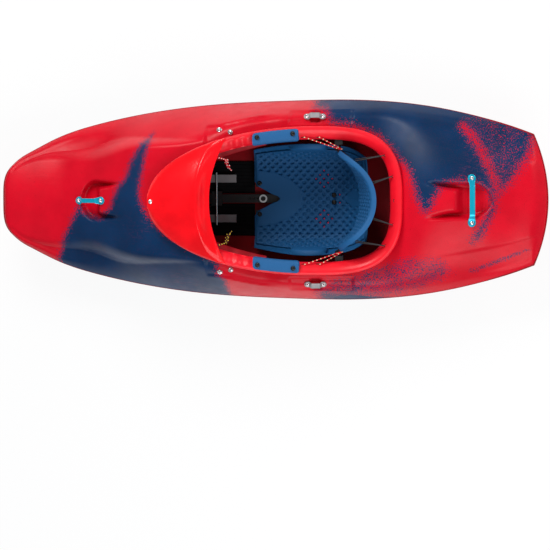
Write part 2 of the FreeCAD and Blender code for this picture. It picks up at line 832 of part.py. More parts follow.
bow_reach = size("bow_handle_pitch") / 2.0 * 0.94
bow_handle_x = LONG * size("bow_handle_x")
stern_handle_x = LONG * size("stern_handle_x")
bow_place = seat_between((bow_handle_x - bow_reach, 0.0), (bow_handle_x + bow_reach, 0.0),
                         Vector(0.0, 0.0, 1.0))
stern_reach = size("stern_handle_pitch") / 2.0
stern_place = seat_between((stern_handle_x, -stern_reach), (stern_handle_x, stern_reach),
                           normal_at(stern_handle_x, stern_reach))
bow_screw_places = bar_places(bow_place, size("bow_handle_pitch"), size("handle_thickness"))
stern_screw_places = bar_places(stern_place, size("stern_handle_pitch"), size("handle_thickness"))

lift_places = {}
for side_name, side in (("port", -1.0), ("starboard", 1.0)):
    bar_middle = (size("bar_x"), side * size("bar_y"))
    ends = [(bar_middle[0] + end * size("bar_pitch") / 2.0, bar_middle[1]) for end in (-1.0, 1.0)]
    lift_places[side_name] = seat_between(ends[0], ends[1], normal_at(bar_middle[0], bar_middle[1]))
lift_screw_places = []
for place in lift_places.values():
    lift_screw_places += bar_places(place, size("bar_pitch"), size("handle_thickness"))

hook_screw_places = []
for side in (-1.0, 1.0):
    for end in (-1.0, 1.0):
        x = size("hook_screw_x") + end * size("hook_screw_pitch") / 2.0
        y = side * (size("hook_screw_y") - end * size("hook_screw_skew"))
        hook_screw_places.append(stand_on(Vector(x, y, deck_height(x, y) + 0.2), normal_at(x, y)))

# ---------------------------------------------------------------- thigh braces and what goes through the rim

BRACE_TOP = [(7.0, 6.0), (10.0, 11.0), (26.0, 13.0), (44.0, 9.0), (49.0, -2.0), (47.0, -21.0)]
BRACE_UNDER = [(7.0, 0.0), (10.0, 0.0), (22.0, -4.0), (34.0, -13.0), (40.0, -20.0), (43.0, -23.5)]


def lip_point(x, side, inset, height):
    """A point on the side of the lip, by its inset from the edge and its height above the crown."""
    return Vector(x, side * rim_half(x, inset), rim_top(x) + height)


def lip_frame(x, side, inset, height):
    """A placement on the side of the lip, along the rim."""
    step = 40.0
    along = lip_point(x + step, side, inset, height) - lip_point(x - step, side, inset, height)
    along.normalize()
    up = Vector(-along.z, 0.0, along.x)
    up.normalize()
    return stand_on(lip_point(x, side, inset, height), up, along)


def brace_shape(side):
    """A thigh brace along the lip, with two slots for its bolts."""
    length = size("brace_length")
    rows = 8
    places = [size("brace_x") + length * (i / rows - 0.5) for i in range(rows + 1)]
    wide = size("brace_width") / 38.0
    thick = size("brace_thickness") - 13.0
    lift = size("brace_clearance")
    top = [[lip_point(x, side, 7.0 + (d - 7.0) * wide, h + thick + lift) for d, h in BRACE_TOP] for x in places]
    under = [[lip_point(x, side, 7.0 + (d - 7.0) * wide, h + lift) for d, h in BRACE_UNDER] for x in places]
    block = plate(top, under)
    frame = lip_frame(size("brace_x"), side, size("brace_inset"), 0.0)
    reach = (size("brace_slot") - size("brace_slot_width")) / 2.0
    for end in (-1.0, 1.0):
        middle = end * size("brace_pitch") / 2.0
        slot = Part.makeBox(2.0 * reach, size("brace_slot_width"), 80.0,
                            Vector(middle - reach, -size("brace_slot_width") / 2.0, -40.0))
        for tip in (-reach, reach):
            round_end = Part.makeCylinder(size("brace_slot_width") / 2.0, 80.0, Vector(middle + tip, 0.0, -40.0))
            slot = slot.fuse(round_end)
        block = block.cut(moved(slot, frame))
    return block


brace_frames = {}
brace_screw_places = []
for side_name, side in (("port", -1.0), ("starboard", 1.0)):
    head_height = size("brace_thickness") + size("brace_clearance") - 0.6
    brace_frames[side_name] = lip_frame(size("brace_x"), side, size("brace_inset"), head_height)
    brace_screw_places += bar_places(brace_frames[side_name], size("brace_pitch"), 0.0)

# Cord holes in the slope of the lip: stations of the tension cords, turns of the bungees.
TENSION_STATIONS = (112.0, 161.0)
BUNGEE_TURNS = (0.094, 0.0336)
# where the bungees meet the back of the backband, and how far the middle of each end stands off it
BUNGEE_SHARES = (0.72, 0.3)
BUNGEE_CLEAR = (1.75, 0.75)
HOLE_INSET = 35.0
HOLE_DROP = 14.0
# the bungees' holes lie higher on the slope
REAR_INSET = 27.0
REAR_DROP = 7.6


def rear_rim(turn, inset, drop):
    """A point on the slope of the rear of the lip."""
    x, y = rim_point(turn, inset)
    outer_x, outer_y = rim_point(turn)
    return Vector(x, y, rim_top(outer_x) - drop)


tension_holes = [[lip_point(x, side, HOLE_INSET, -HOLE_DROP) for x in TENSION_STATIONS] for side in (-1.0, 1.0)]
bungee_holes = [[rear_rim(side * turn, REAR_INSET, REAR_DROP) for turn in BUNGEE_TURNS] for side in (-1.0, 1.0)]
rim_holes = [hole for group in tension_holes + bungee_holes for hole in group]
rim_holes.append(rear_rim(0.0, REAR_INSET, REAR_DROP))

# ---------------------------------------------------------------- the shell's three solids

put("hull", shell_solid(hull_height, HULL_SHARES, -1))

deck_cuts = [cockpit_cut()]
deck_cuts += screw_bores(bow_screw_places + stern_screw_places + lift_screw_places + hook_screw_places,
                         size("handle_screw_hole"))
put("deck", shell_solid(deck_height, DECK_SHARES, 1).cut(deck_cuts))

rim_cuts = screw_bores(brace_screw_places, size("brace_slot_width"))
for hole in rim_holes:
    rim_cuts.append(Part.makeCylinder(size("cord_hole") / 2.0, 24.0, hole - Vector(0.0, 0.0, 16.0)))
put("coaming", coaming_shape().cut(rim_cuts))

# ---------------------------------------------------------------- the raised cap over the front of the cockpit

RISER_LINES = 25


def riser_height(x, share):
    """Height of the outer face of the cap above the lip: a ridge that fades out at its nose and edges."""
    nose = size("rim_middle_x") - size("rim_front_reach")
    along = min(max((x - nose) / (size("riser_rear_x") - nose), 0.0), 1.0)
    ridge = 5.0 + size("riser_peak") * along ** 0.62
    return ridge * (1.0 - abs(share) ** 2.6) + size("riser_wall")


def riser_point(along, share, lift):
    """A point of the cap: along runs from its nose to its rear edge, share from port to starboard."""
    nose = size("rim_middle_x") - size("rim_front_reach") + 4.0
    tip_x = size("riser_rear_x") + size("riser_tip_reach") * abs(share) ** 2.2
    x = nose + (tip_x - nose) * along ** 1.6
    edge_x = max(x, nose + 0.5)
    y = share * rim_half(edge_x, 3.0)
    roll = 46.0 * ramp(along, 0.86, 1.0) * (1.0 - abs(share) ** 3)
    z = rim_top(x) + max(riser_height(x, share) - roll, size("riser_wall")) - size("riser_bed")
    return Vector(x, y, z - lift)


def riser_sheet(lift):
    """The poles of one face of the cap."""
    count = 22
    return [[riser_point(i / count, 2.0 * j / (RISER_LINES - 1) - 1.0, lift) for j in range(RISER_LINES)]
            for i in range(count + 1)]


riser_nose = riser_point(0.18, 0.0, 0.0)
riser_next = riser_point(0.22, 0.0, 0.0)
riser_slope = Vector(riser_next.z - riser_nose.z, 0.0, -(riser_next.x - riser_nose.x))
riser_slope.normalize()
riser_screw_place = stand_on(riser_nose, riser_slope * -1.0)
riser_solid = plate(riser_sheet(0.0), riser_sheet(size("riser_wall")))
put("riser_cap", riser_solid.cut(screw_bores([riser_screw_place], size("handle_screw_hole"))))
screw_group("riser_screw", deck_screw, [riser_screw_place])

# ---------------------------------------------------------------- handles, bars and their screws

put("bow_handle", handle_shape(size("bow_handle_length"), size("bow_handle_pitch"), size("handle_width"),
                               size("handle_waist"), size("handle_arch")), bow_place)
put("stern_handle", handle_shape(size("stern_handle_length"), size("stern_handle_pitch"), size("handle_width"),
                                 size("handle_waist"), size("handle_arch")), stern_place)
for side_name, place in lift_places.items():
    put("lift_bar_" + side_name,
        handle_shape(size("bar_length"), size("bar_pitch"), size("bar_width"), size("bar_width") - 4.0,
                     size("bar_height") - size("bar_thickness")), place)
screw_group("bow_handle_screws", deck_screw, bow_screw_places)
screw_group("stern_handle_screws", deck_screw, stern_screw_places)
screw_group("lift_bar_screws", deck_screw, lift_screw_places)

# ---------------------------------------------------------------- thigh hooks and braces

def hook_point(along, share, side, lift):
    """A point of a thigh hook: along from front to rear, share from under the deck to the free edge."""
    x = size("hook_front_x") + size("hook_length") * along
    inner = rim_half(x, size("lip_width")) - 20.0 + 11.0 * along
    outer = size("hook_outer_y")
    y = outer + (inner - outer) * share
    roof = below_deck(x, min(y, outer)) - 4.0 * size("soft_clearance")
    wall_y = rim_half(x, size("rim_wall_inset"))
    wall_foot = min(deck_height(x, wall_y), rim_top(x) - 20.0) - size("shell_wall") - 1.0
    near = 1.0 - ramp(y, wall_y + 1.0, wall_y + 14.0)
    top = roof + (min(roof, wall_foot) - roof) * near
    past = max(wall_y - size("rim_wall") - y, 0.0)
    bumps = 3.0 * math.sin(3.0 * math.pi * along) ** 2 * ramp(past, 0.0, 14.0)
    return Vector(x, side * y, top - size("hook_drop") * (past / 38.0) ** 1.5 + bumps - lift)


def hook_shape(side):
    """A thigh hook, with the bores of its two screws."""
    sheets = [[[hook_point(i / 12.0, j / 16.0, side, lift) for j in range(17)] for i in range(13)]
              for lift in (0.0, size("hook_thickness"))]
    return plate(sheets[0], sheets[1]).cut(screw_bores(hook_screw_places, size("handle_screw_hole")))


put("thigh_hook_port", hook_shape(-1.0))
put("thigh_hook_starboard", hook_shape(1.0))
screw_group("hook_screws", deck_screw, hook_screw_places)
put("thigh_brace_port", brace_shape(-1.0))
put("thigh_brace_starboard", brace_shape(1.0))
screw_group("brace_bolts", brace_screw, brace_screw_places)

# ---------------------------------------------------------------- floor: mats, beam and seat rails

for side_name, side in (("port", -1.0), ("starboard", 1.0)):
    front = size("mat_front_x")
    rear = front + size("mat_length")
    low = floor_line(front, rear, size("mat_half_width"), size("soft_clearance") - size("fit_clearance"))
    high = [(x, z + size("mat_thickness")) for x, z in reversed(low)]
    edges = sorted([side * (size("beam_width") / 2.0 + 4.0), side * size("mat_half_width")])
    put("floor_mat_" + side_name, side_prism(low + high, edges[0], edges[1]))

BEAM_TOP = size("seat_floor") - size("seat_pan_wall") - 4.0
beam_rear = size("beam_front_x") + size("beam_length")
beam_side = size("beam_width") / 2.0
beam = side_prism(floor_line(size("beam_front_x"), beam_rear, beam_side)
                  + [(beam_rear, BEAM_TOP), (size("beam_front_x"), BEAM_TOP)], -beam_side, beam_side)
hole_x = size("beam_first_hole_x")
while hole_x > size("beam_last_hole_x"):
    beam = beam.cut(Part.makeCylinder(size("beam_hole") / 2.0, 12.0, Vector(hole_x, 0.0, BEAM_TOP - 10.0)))
    hole_x -= size("beam_hole_pitch")
stud = Part.makeCylinder(size("knob_bore") / 2.0 - 0.05, 12.0, Vector(size("knob_x"), 0.0, BEAM_TOP - 2.0))
put("index_beam", beam.fuse(stud))

knob = bound("Part::Cylinder", "KnobBlank", Radius="Sizes.knob_diameter / 2", Height="Sizes.knob_height",
             Placement__Base__x="Sizes.knob_x",
             Placement__Base__z="Sizes.seat_floor - Sizes.seat_pan_wall - 4 + Sizes.fit_clearance")
knob_bore = bound("Part::Cylinder", "KnobBore", Radius="Sizes.knob_bore / 2", Height="Sizes.knob_height + 2",
                  Placement__Base__x="Sizes.knob_x",
                  Placement__Base__z="Sizes.seat_floor - Sizes.seat_pan_wall - 5")
knob_ring = doc.addObject("Part::Cut", "beam_knob")
knob_ring.Base = knob
knob_ring.Tool = knob_bore
finish(knob_ring, "beam_knob")

RAIL_TOP = size("seat_floor") - size("seat_pan_wall") - size("fit_clearance")
for side_name, side in (("port", -1.0), ("starboard", 1.0)):
    front = size("rail_front_x")
    rear = front + size("rail_length")
    middle = side * size("rail_spacing") / 2.0
    half = size("rail_width") / 2.0
    outer = abs(middle) + half
    outline = floor_line(front, rear, outer) + [(rear, RAIL_TOP), (front, RAIL_TOP)]
    put("seat_rail_" + side_name, side_prism(outline, middle - half, middle + half))

# ---------------------------------------------------------------- seat

seat_half = line([(-88, 170), (-20, 182), (60, 190), (190, 188), (260, 172), (306, 146)])
seat_side = line([(-88, 26), (-20, 66), (60, 150), (180, 150), (230, 104), (306, 60)])


def seat_point(x, share, lift):
    """A point of the seat: share runs from port to starboard, lift is measured square to its section."""
    wide = seat_half(x) * size("seat_half_width") / 190.0
    rise = seat_side(x) * size("seat_side_rise") / 105.0
    bend = size("seat_bend")

    def section(part):
        part = min(max(part, -1.0), 1.0)
        flat = wide - bend
        if abs(part) <= 0.5:
            return part / 0.5 * flat, 0.0
        angle = (abs(part) - 0.5) / 0.5 * math.radians(82.0)
        return math.copysign(flat + bend * math.sin(angle), part), rise * (1.0 - math.cos(angle))

    y, z = section(share)
    ahead = section(share + 0.01)
    behind = section(share - 0.01)
    run_y = ahead[0] - behind[0]
    run_z = ahead[1] - behind[1]
    length = math.hypot(run_y, run_z)
    back = size("seat_rear_rise") * max((x - 190.0) / (size("seat_rear_x") - 190.0), 0.0) ** 2
    return Vector(x, y - lift * run_z / length, size("seat_floor") + z + back + lift * run_y / length)


def seat_sheet(front, rear, low, high, lift, rows=18, columns=32):
    """Poles of one face of a layer of the seat."""
    return [[seat_point(front + (rear - front) * i / rows, low + (high - low) * j / columns, lift)
             for j in range(columns + 1)] for i in range(rows + 1)]


def seat_notch(extra):
    """The prism that cuts the notch in the front of the seat."""
    half_width = size("seat_notch_half_width") + extra
    front = size("seat_front_x")
    depth = size("seat_notch_depth") + extra
    taper = line([(0.0, 1.0), (0.19, 0.74), (0.35, 0.60), (0.59, 0.38), (0.80, 0.22), (0.93, 0.13), (1.0, 0.0)])
    edge = [(front + depth * i / 20.0, half_width * taper(i / 20.0)) for i in range(21)]
    points = [Vector(x, -half, 0.0) for x, half in edge[:-1]] + [Vector(x, half, 0.0) for x, half in reversed(edge)]
    points = [Vector(front - 20.0, -half_width, 0.0)] + points + [Vector(front - 20.0, half_width, 0.0)]
    return Part.Face(Part.makePolygon(points + points[:1])).extrude(Vector(0.0, 0.0, 200.0))


seat_front, seat_rear = size("seat_front_x"), size("seat_rear_x")
pan_wall = size("seat_pan_wall")
pan = plate(seat_sheet(seat_front, seat_rear, -1.0, 1.0, 0.0), seat_sheet(seat_front, seat_rear, -1.0, 1.0, -pan_wall))
pan = pan.cut(seat_notch(0.0))

pad_low = size("fit_clearance")
pad_high = pad_low + size("seat_pad_thickness")
pad = plate(seat_sheet(seat_front + 6.0, seat_rear - 12.0, -0.82, 0.82, pad_high),
            seat_sheet(seat_front + 6.0, seat_rear - 12.0, -0.82, 0.82, pad_low))
pad = pad.cut(seat_notch(3.0))

seat_bolt_places = []
for side in (-1.0, 1.0):
    for x, half in ((size("rail_front_x") + size("seat_bolt_inset"), size("rail_spacing") / 2.0),
                    (size("seat_rear_bolt_x"), size("seat_rear_bolt_spacing") / 2.0)):
        share = side * half / (seat_half(x) * size("seat_half_width") / 190.0 - size("seat_bend")) * 0.5
        point = seat_point(x, share, 0.0)
        seat_bolt_places.append(FreeCAD.Placement(Vector(x, side * half,
                                                         point.z + pad_high + 2.0 * size("soft_clearance")),
                                                  FreeCAD.Rotation()))
seat_bolt = button_screw("SeatBolt", "Sizes.brace_bolt_head", "Sizes.screw_head_height", "Sizes.brace_bolt",
                         "Sizes.seat_pad_thickness + Sizes.seat_pan_wall")
seat_bores = screw_bores(seat_bolt_places, size("brace_slot_width"))
put("seat_pan", pan.cut(seat_bores))
put("seat_pad", pad.cut(seat_bores))
screw_group("seat_bolts", seat_bolt, seat_bolt_places)

hip_front = size("hip_pad_x")
hip_rear = hip_front + size("hip_pad_length")
for side_name, side in (("port", -1.0), ("starboard", 1.0)):
    sheets = []
    for lift in (size("soft_clearance"), size("soft_clearance") + size("hip_pad_thickness")):
        sheets.append(seat_sheet(hip_front, hip_rear, side * 0.835, side * 1.0, lift, 6, 8))
    put("hip_pad_" + side_name, plate(sheets[1], sheets[0]))

# ---------------------------------------------------------------- backband

band_bottom = line([(0.0, 178), (0.45, 186), (0.75, 205), (1.0, 236)])
band_top = line([(0.0, 334), (0.4, 341), (0.78, 349), (0.9, 318), (1.0, 270)])


def band_point(share, level, offset):
    """A point of the backband: share across, level from bottom to top, offset to the rear."""
    part = abs(share)
    low = band_bottom(part) + size("band_bottom") - 178.0
    high = band_top(part) + size("band_top") - 334.0
    z = low + (high - low) * level
    y = share * size("band_half_width")
    x = size("band_apex_x") - size("band_sweep") * part ** 2.2
    slope = -size("band_sweep") * 2.2 * part ** 1.2 / size("band_half_width")
    length = math.hypot(1.0, slope)
    lean = size("band_recline") * (z - size("band_top")) / (size("band_top") - size("band_bottom")) * 0.5
    lean *= 1.0 - part ** 2
    return Vector(x + lean + offset / length, y + math.copysign(1.0, share) * -slope * offset / length, z)


def band_sheet(offset, reach=1.0, low=0.0, high=1.0):
    """Poles of one face of a layer of the backband."""
    return [[band_point(reach * (j / 16.0 - 1.0), low + (high - low) * i / 8.0, offset) for j in range(33)]
            for i in range(9)]


PIVOT = Vector(226.0, 0.0, 251.0)
pin_radius = 4.0
band_shell = plate(band_sheet(size("band_shell")), band_sheet(0.0))
band_pad = plate(band_sheet(-size("fit_clearance"), 0.93, 0.04, 0.97),
                 band_sheet(-size("fit_clearance") - size("band_pad"), 0.93, 0.04, 0.97))
bore_reach = size("band_half_width") + 40.0
pivot_bore = Part.makeCylinder(pin_radius + 0.05, 2.0 * bore_reach, Vector(PIVOT.x, -bore_reach, PIVOT.z),
                               Vector(0.0, 1.0, 0.0))
pad_bore = Part.makeCylinder(pin_radius + 2.0, 2.0 * bore_reach, Vector(PIVOT.x, -bore_reach, PIVOT.z),
                             Vector(0.0, 1.0, 0.0))
put("backband_shell", band_shell.cut(pivot_bore))
put("backband_pad", band_pad.cut(pad_bore))

for side_name, side in (("port", -1.0), ("starboard", 1.0)):
    outer = rim_half(PIVOT.x, size("rim_wall_inset") + size("rim_wall")) - 2.4
    block = Part.makeBox(26.0, 10.0, 39.0, Vector(PIVOT.x - 13.0, 184.0, PIVOT.z - 13.0))
    block = block.fuse(Part.makeBox(26.0, outer - 184.0, 11.0, Vector(PIVOT.x - 13.0, 184.0, PIVOT.z + 15.0)))
    pin = Part.makeCylinder(pin_radius, 26.0, Vector(PIVOT.x, 160.0, PIVOT.z), Vector(0.0, 1.0, 0.0))
    hanger = block.fuse(pin)
    if side < 0.0:
        hanger = hanger.mirror(Vector(0.0, 0.0, 0.0), Vector(0.0, 1.0, 0.0))
    put("backband_hanger_" + side_name, hanger)

# ---------------------------------------------------------------- cords

def tube(points, diameter):
    """A round cord: straight runs joined by tangent arcs as large as the runs allow."""
    edges = []
    start = points[0]
    for before, corner, after in zip(points, points[1:], points[2:]):
        back = before - corner
        ahead = after - corner
        short = min(back.Length, ahead.Length)
        back.normalize()
        ahead.normalize()
        turn = math.pi - back.getAngle(ahead)
        trim = 0.45 * short
        radius = trim / math.tan(turn / 2.0)
        middle = back + ahead
        middle.normalize()
        centre = corner + middle * (radius / math.cos(turn / 2.0))
        enter = corner + back * trim
        leave = corner + ahead * trim
        edges.append(Part.LineSegment(start, enter).toShape())
        edges.append(Part.Arc(enter, centre - middle * radius, leave).toShape())
        start = leave
    edges.append(Part.LineSegment(start, points[-1]).toShape())
    path = Part.Wire(edges)
    heading = points[1] - points[0]
    heading.normalize()
    profile = Part.Wire([Part.makeCircle(diameter / 2.0, points[0], heading)])
    if len(points) == 2:
        return Part.Face(profile).extrude(points[1] - points[0])
    solid = path.makePipeShell([profile], True, False)
    expected = math.pi * diameter * diameter / 4.0 * path.Length
    if abs(solid.Volume - expected) > 0.02 * expected:
        raise RuntimeError("a cord's tube has the wrong volume")
    return solid


for name, side, holes, rear_holes in (("port", -1.0, tension_holes[0], bungee_holes[0]),
                                      ("starboard", 1.0, tension_holes[1], bungee_holes[1])):
    radius = size("tension_cord_diameter") / 2.0
    ends = [Vector(236.0, side * 168.5, 300.0), Vector(241.0, side * 168.0, 290.0)]
    strands = []
    for hole, end in zip(holes, ends):
        strands.append(tube([hole + Vector(3.0, 0.0, radius + 1.5), end], size("tension_cord_diameter")))
    put("tension_cord_" + name, Part.makeCompound(strands))
    strands = []
    for hole, share, clear in zip(rear_holes, BUNGEE_SHARES, BUNGEE_CLEAR):
        anchor = band_point(side * share, 0.8, size("band_shell") + clear)
        start = hole + Vector(-4.0, 0.0, size("bungee_diameter") / 2.0 + 1.0)
        strands.append(tube([start, anchor], size("bungee_diameter")))
    put("bungee_" + name, Part.makeCompound(strands))
    tie = [Vector(-166.0, side * 145.0, 394.0), Vector(-131.0, side * 139.0, 374.0),
           Vector(-141.0, side * 120.0, 339.0), Vector(-125.0, side * 100.0, 320.0)]
    put("tie_cord_" + name, tube(tie, size("tie_cord_diameter")))

# ---------------------------------------------------------------- footrest

plate_front = size("footrest_x") - size("footrest_thickness")
bound_plate = bound("Part::Box", "footrest_plate", Length="Sizes.footrest_thickness",
                    Width="Sizes.footrest_width", Height="Sizes.footrest_height",
                    Placement__Base__x="Sizes.footrest_x - Sizes.footrest_thickness",
                    Placement__Base__y="-Sizes.footrest_width / 2", Placement__Base__z="Sizes.footrest_bottom")
finish(bound_plate, "footrest_plate")
for side_name, side in (("port", -1.0), ("starboard", 1.0)):
    offset = "Sizes.footrest_width / 2" if side > 0.0 else "-Sizes.footrest_width / 2 + Sizes.foot_pad_width"
    made = bound("Part::Box", "foot_pad_" + side_name, Length="Sizes.foot_pad_thickness",
                 Width="Sizes.foot_pad_width", Height="Sizes.footrest_height - 16",
                 Placement__Base__x="Sizes.footrest_x + Sizes.fit_clearance",
                 Placement__Base__y=offset + " - Sizes.foot_pad_width",
                 Placement__Base__z="Sizes.footrest_bottom + 8")
    finish(made, "foot_pad_" + side_name)

arm_low = size("arm_level")
arm_thick = size("arm_thickness")
for side_name, side in (("port", -1.0), ("starboard", 1.0)):
    start = plate_front - 0.3
    rear = size("rod_x") + size("arm_overhang")
    top = size("footrest_bottom") + 28.0
    outline = [(rear, arm_low), (size("arm_bend_x"), arm_low), (start - arm_thick, size("footrest_bottom") - 8.0),
               (start - arm_thick, top), (start, top), (start, size("footrest_bottom") - 1.0),
               (size("arm_bend_x") + 6.0, arm_low + arm_thick), (rear, arm_low + arm_thick)]
    middle = side * size("arm_spacing") / 2.0
    half = size("arm_width") / 2.0
    put("footrest_arm_" + side_name, side_prism(outline, middle - half, middle + half))

rod_radius = size("rod_diameter") / 2.0
rod_height = arm_low + arm_thick + rod_radius + 0.2
rod = bound("Part::Cylinder", "cross_rod", Radius="Sizes.rod_diameter / 2", Height="Sizes.rod_length",
            Placement__Base__x="Sizes.rod_x",
            Placement__Base__z="Sizes.arm_level + Sizes.arm_thickness + Sizes.rod_diameter / 2 + 0.2")
rod.setExpression("Placement.Base.y", "Sizes.rod_length / 2")
rod.Placement.Rotation = FreeCAD.Rotation(Vector(1.0, 0.0, 0.0), 90.0)
finish(rod, "cross_rod")

carriage = Part.makeBox(36.0, 48.0, rod_height + 0.5 - (BEAM_TOP - 8.0),
                        Vector(size("rod_x") - 18.0, -24.0, BEAM_TOP - 8.0))
channel = Part.makeBox(40.0, size("beam_width") + 0.8, 8.4,
                       Vector(size("rod_x") - 20.0, -size("beam_width") / 2.0 - 0.4, BEAM_TOP - 8.1))
rod_bore = Part.makeCylinder(rod_radius + 0.1, 60.0, Vector(size("rod_x"), -30.0, rod_height),
                             Vector(0.0, 1.0, 0.0))
put("footrest_carriage", carriage.cut([channel, rod_bore]))

# ---------------------------------------------------------------- foam pillars

def pillar(front, rear, half_width, gap):
    """A block of foam from the floor to a gap under the deck, between two stations."""
    steps = int((rear - front) / 8.0)
    places = [front + (rear - front) * i / steps for i in range(steps + 1)]
    low = [(x, above_floor(x, half_width) + 0.4) for x in places]
    high = [(x, under_ceiling(x, half_width) - gap) for x in reversed(places)]
    return side_prism(low + high, -half_width, half_width)


put("bow_pillar", pillar(LONG * size("bow_pillar_front"), LONG * size("bow_pillar_rear"),
                         size("pillar_width") / 2.0, size("bow_pillar_gap")))
put("stern_pillar", pillar(LONG * size("stern_pillar_front"), LONG * size("stern_pillar_rear"),
                           size("pillar_width") / 2.0, size("stern_pillar_gap")))

# ---------------------------------------------------------------- checks and files

doc.recompute()
for thing in doc.Objects:
    if "Invalid" in thing.State or "Error" in thing.State:
        raise RuntimeError("failed: " + thing.Name)
os.makedirs("parts", exist_ok=True)
for part in PARTS:
    shape = part.Shape
    if shape.isNull() or not shape.isValid():
        raise RuntimeError("bad shape: " + part.Label)
    shape.exportStep("parts/%s.step" % part.Label)
    print("%-24s %3d solids %10.1f cm3" % (part.Label, len(shape.Solids), shape.Volume / 1000.0))
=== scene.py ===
"""A whitewater freestyle kayak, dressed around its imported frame.

The bow points along -X, starboard is +Y and the deck faces +Z. Shapes are worked out in millimetres
and turned into metres when their mesh is made.
"""
from __future__ import annotations

import logging
import math
from dataclasses import dataclass, field
from enum import Enum
from typing import Callable, Sequence

import bmesh
import bpy
import numpy as np
from mathutils import Matrix, Vector


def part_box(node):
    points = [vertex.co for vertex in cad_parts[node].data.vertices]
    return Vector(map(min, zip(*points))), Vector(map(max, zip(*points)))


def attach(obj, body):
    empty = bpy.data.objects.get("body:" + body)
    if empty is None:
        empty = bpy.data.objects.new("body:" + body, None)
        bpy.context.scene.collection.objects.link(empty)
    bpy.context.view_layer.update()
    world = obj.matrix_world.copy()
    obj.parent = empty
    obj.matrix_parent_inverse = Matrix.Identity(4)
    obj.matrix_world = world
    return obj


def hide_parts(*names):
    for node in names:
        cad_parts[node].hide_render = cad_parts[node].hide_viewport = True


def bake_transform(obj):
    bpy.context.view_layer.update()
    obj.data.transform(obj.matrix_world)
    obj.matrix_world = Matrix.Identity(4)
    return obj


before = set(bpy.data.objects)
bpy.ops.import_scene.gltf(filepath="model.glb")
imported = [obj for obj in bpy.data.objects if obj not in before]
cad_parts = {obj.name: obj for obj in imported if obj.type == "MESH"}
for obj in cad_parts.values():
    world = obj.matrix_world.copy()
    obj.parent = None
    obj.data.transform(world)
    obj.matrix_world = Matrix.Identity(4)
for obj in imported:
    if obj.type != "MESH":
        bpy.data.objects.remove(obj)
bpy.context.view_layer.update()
PIT_PITCH = 13.4  # between the rows of pits in the seat pad and the backband

MM = 0.001
LOG = logging.getLogger("kayak")
Curve = Callable[[np.ndarray], np.ndarray]
Pairs = Sequence[tuple[float, float]]


class Side(Enum):
    """The two sides of the boat, by the sign of y."""

    PORT = -1.0
    STARBOARD = 1.0

    @property
    def word(self) -> str:
        """The side's name as node names use it."""
        return self.name.lower()


# ---------------------------------------------------------------- arithmetic


def spline(points: Pairs) -> Curve:
    """The natural cubic spline through the points, carried on straight beyond its ends.

    Args:
        points: pairs of (place, value) in rising order of place.

    Returns:
        A function of an array of places.
    """
    xs = np.array([p[0] for p in points], float)
    ys = np.array([p[1] for p in points], float)
    gaps = np.diff(xs)
    rises = np.diff(ys) / gaps
    count = len(xs)
    system = np.eye(count)
    right = np.zeros(count)
    inner = np.arange(1, count - 1)
    system[inner, inner - 1] = gaps[:-1]
    system[inner, inner] = 2.0 * (gaps[:-1] + gaps[1:])
    system[inner, inner + 1] = gaps[1:]
    right[1:-1] = 6.0 * np.diff(rises)
    bends = np.linalg.solve(system, right)
    first = rises[0] - gaps[0] * (2.0 * bends[0] + bends[1]) / 6.0
    last = rises[-1] + gaps[-1] * (bends[-2] + 2.0 * bends[-1]) / 6.0

    def value(places: np.ndarray) -> np.ndarray:
        """Each place's value, from the cubic of the gap that it lies in."""
        x = np.asarray(places, float)
        i = np.clip(np.searchsorted(xs, x, side="right") - 1, 0, count - 2)
        a, b, gap = xs[i + 1] - x, x - xs[i], gaps[i]
        y = (ys[i] * a + ys[i + 1] * b) / gap
        y -= (bends[i] * a * (gap**2 - a**2) + bends[i + 1] * b * (gap**2 - b**2)) / (6.0 * gap)
        y = np.where(x < xs[0], ys[0] + first * (x - xs[0]), y)
        return np.where(x > xs[-1], ys[-1] + last * (x - xs[-1]), y)

    return value


def ramp(value: np.ndarray, low: float, high: float) -> np.ndarray:
    """0 below low, 1 above high, and the smooth step 3s^2 - 2s^3 between."""
    share = np.clip((value - low) / (high - low), 0.0, 1.0)
    return share * share * (3.0 - 2.0 * share)


def soft_min(a: np.ndarray, b: np.ndarray, radius: np.ndarray) -> np.ndarray:
    """The smaller of two heights, less a parabola where they lie within the radius of each other."""
    reach = np.maximum(radius, 1e-9)
    near = np.maximum(reach - np.abs(a - b), 0.0) / reach
    return np.minimum(a, b) - near * near * reach / 4.0


def bump(value: np.ndarray, centre: float, width: float) -> np.ndarray:
    """A bell exp(-((v - centre) / width)^2)."""
    return np.exp(-(((value - centre) / width) ** 2))


def depth_in(outline: Pairs, x: np.ndarray, y: np.ndarray) -> np.ndarray:
    """Distance from the edge of a closed outline, positive inside it.

    Args:
        outline: corners in order.
        x: first coordinate of each point.
        y: second coordinate of each point.

    Returns:
        The least distance to any side, with the sign from the even-odd rule.
    """
    corners = np.array(outline, float)
    best = np.full(x.shape, 1e18)
    inside = np.zeros(x.shape, bool)
    for (ax, ay), (bx, by) in zip(corners, np.roll(corners, -1, axis=0)):
        dx, dy = bx - ax, by - ay
        share = np.clip(((x - ax) * dx + (y - ay) * dy) / (dx * dx + dy * dy), 0.0, 1.0)
        best = np.minimum(best, (x - ax - share * dx) ** 2 + (y - ay - share * dy) ** 2)
        crosses = (ay > y) != (by > y)
        level = np.where(crosses, (y - ay) / (dy if dy else 1.0), 0.0)
        inside ^= crosses & (x < ax + level * dx)
    return np.where(inside, 1.0, -1.0) * np.sqrt(best)


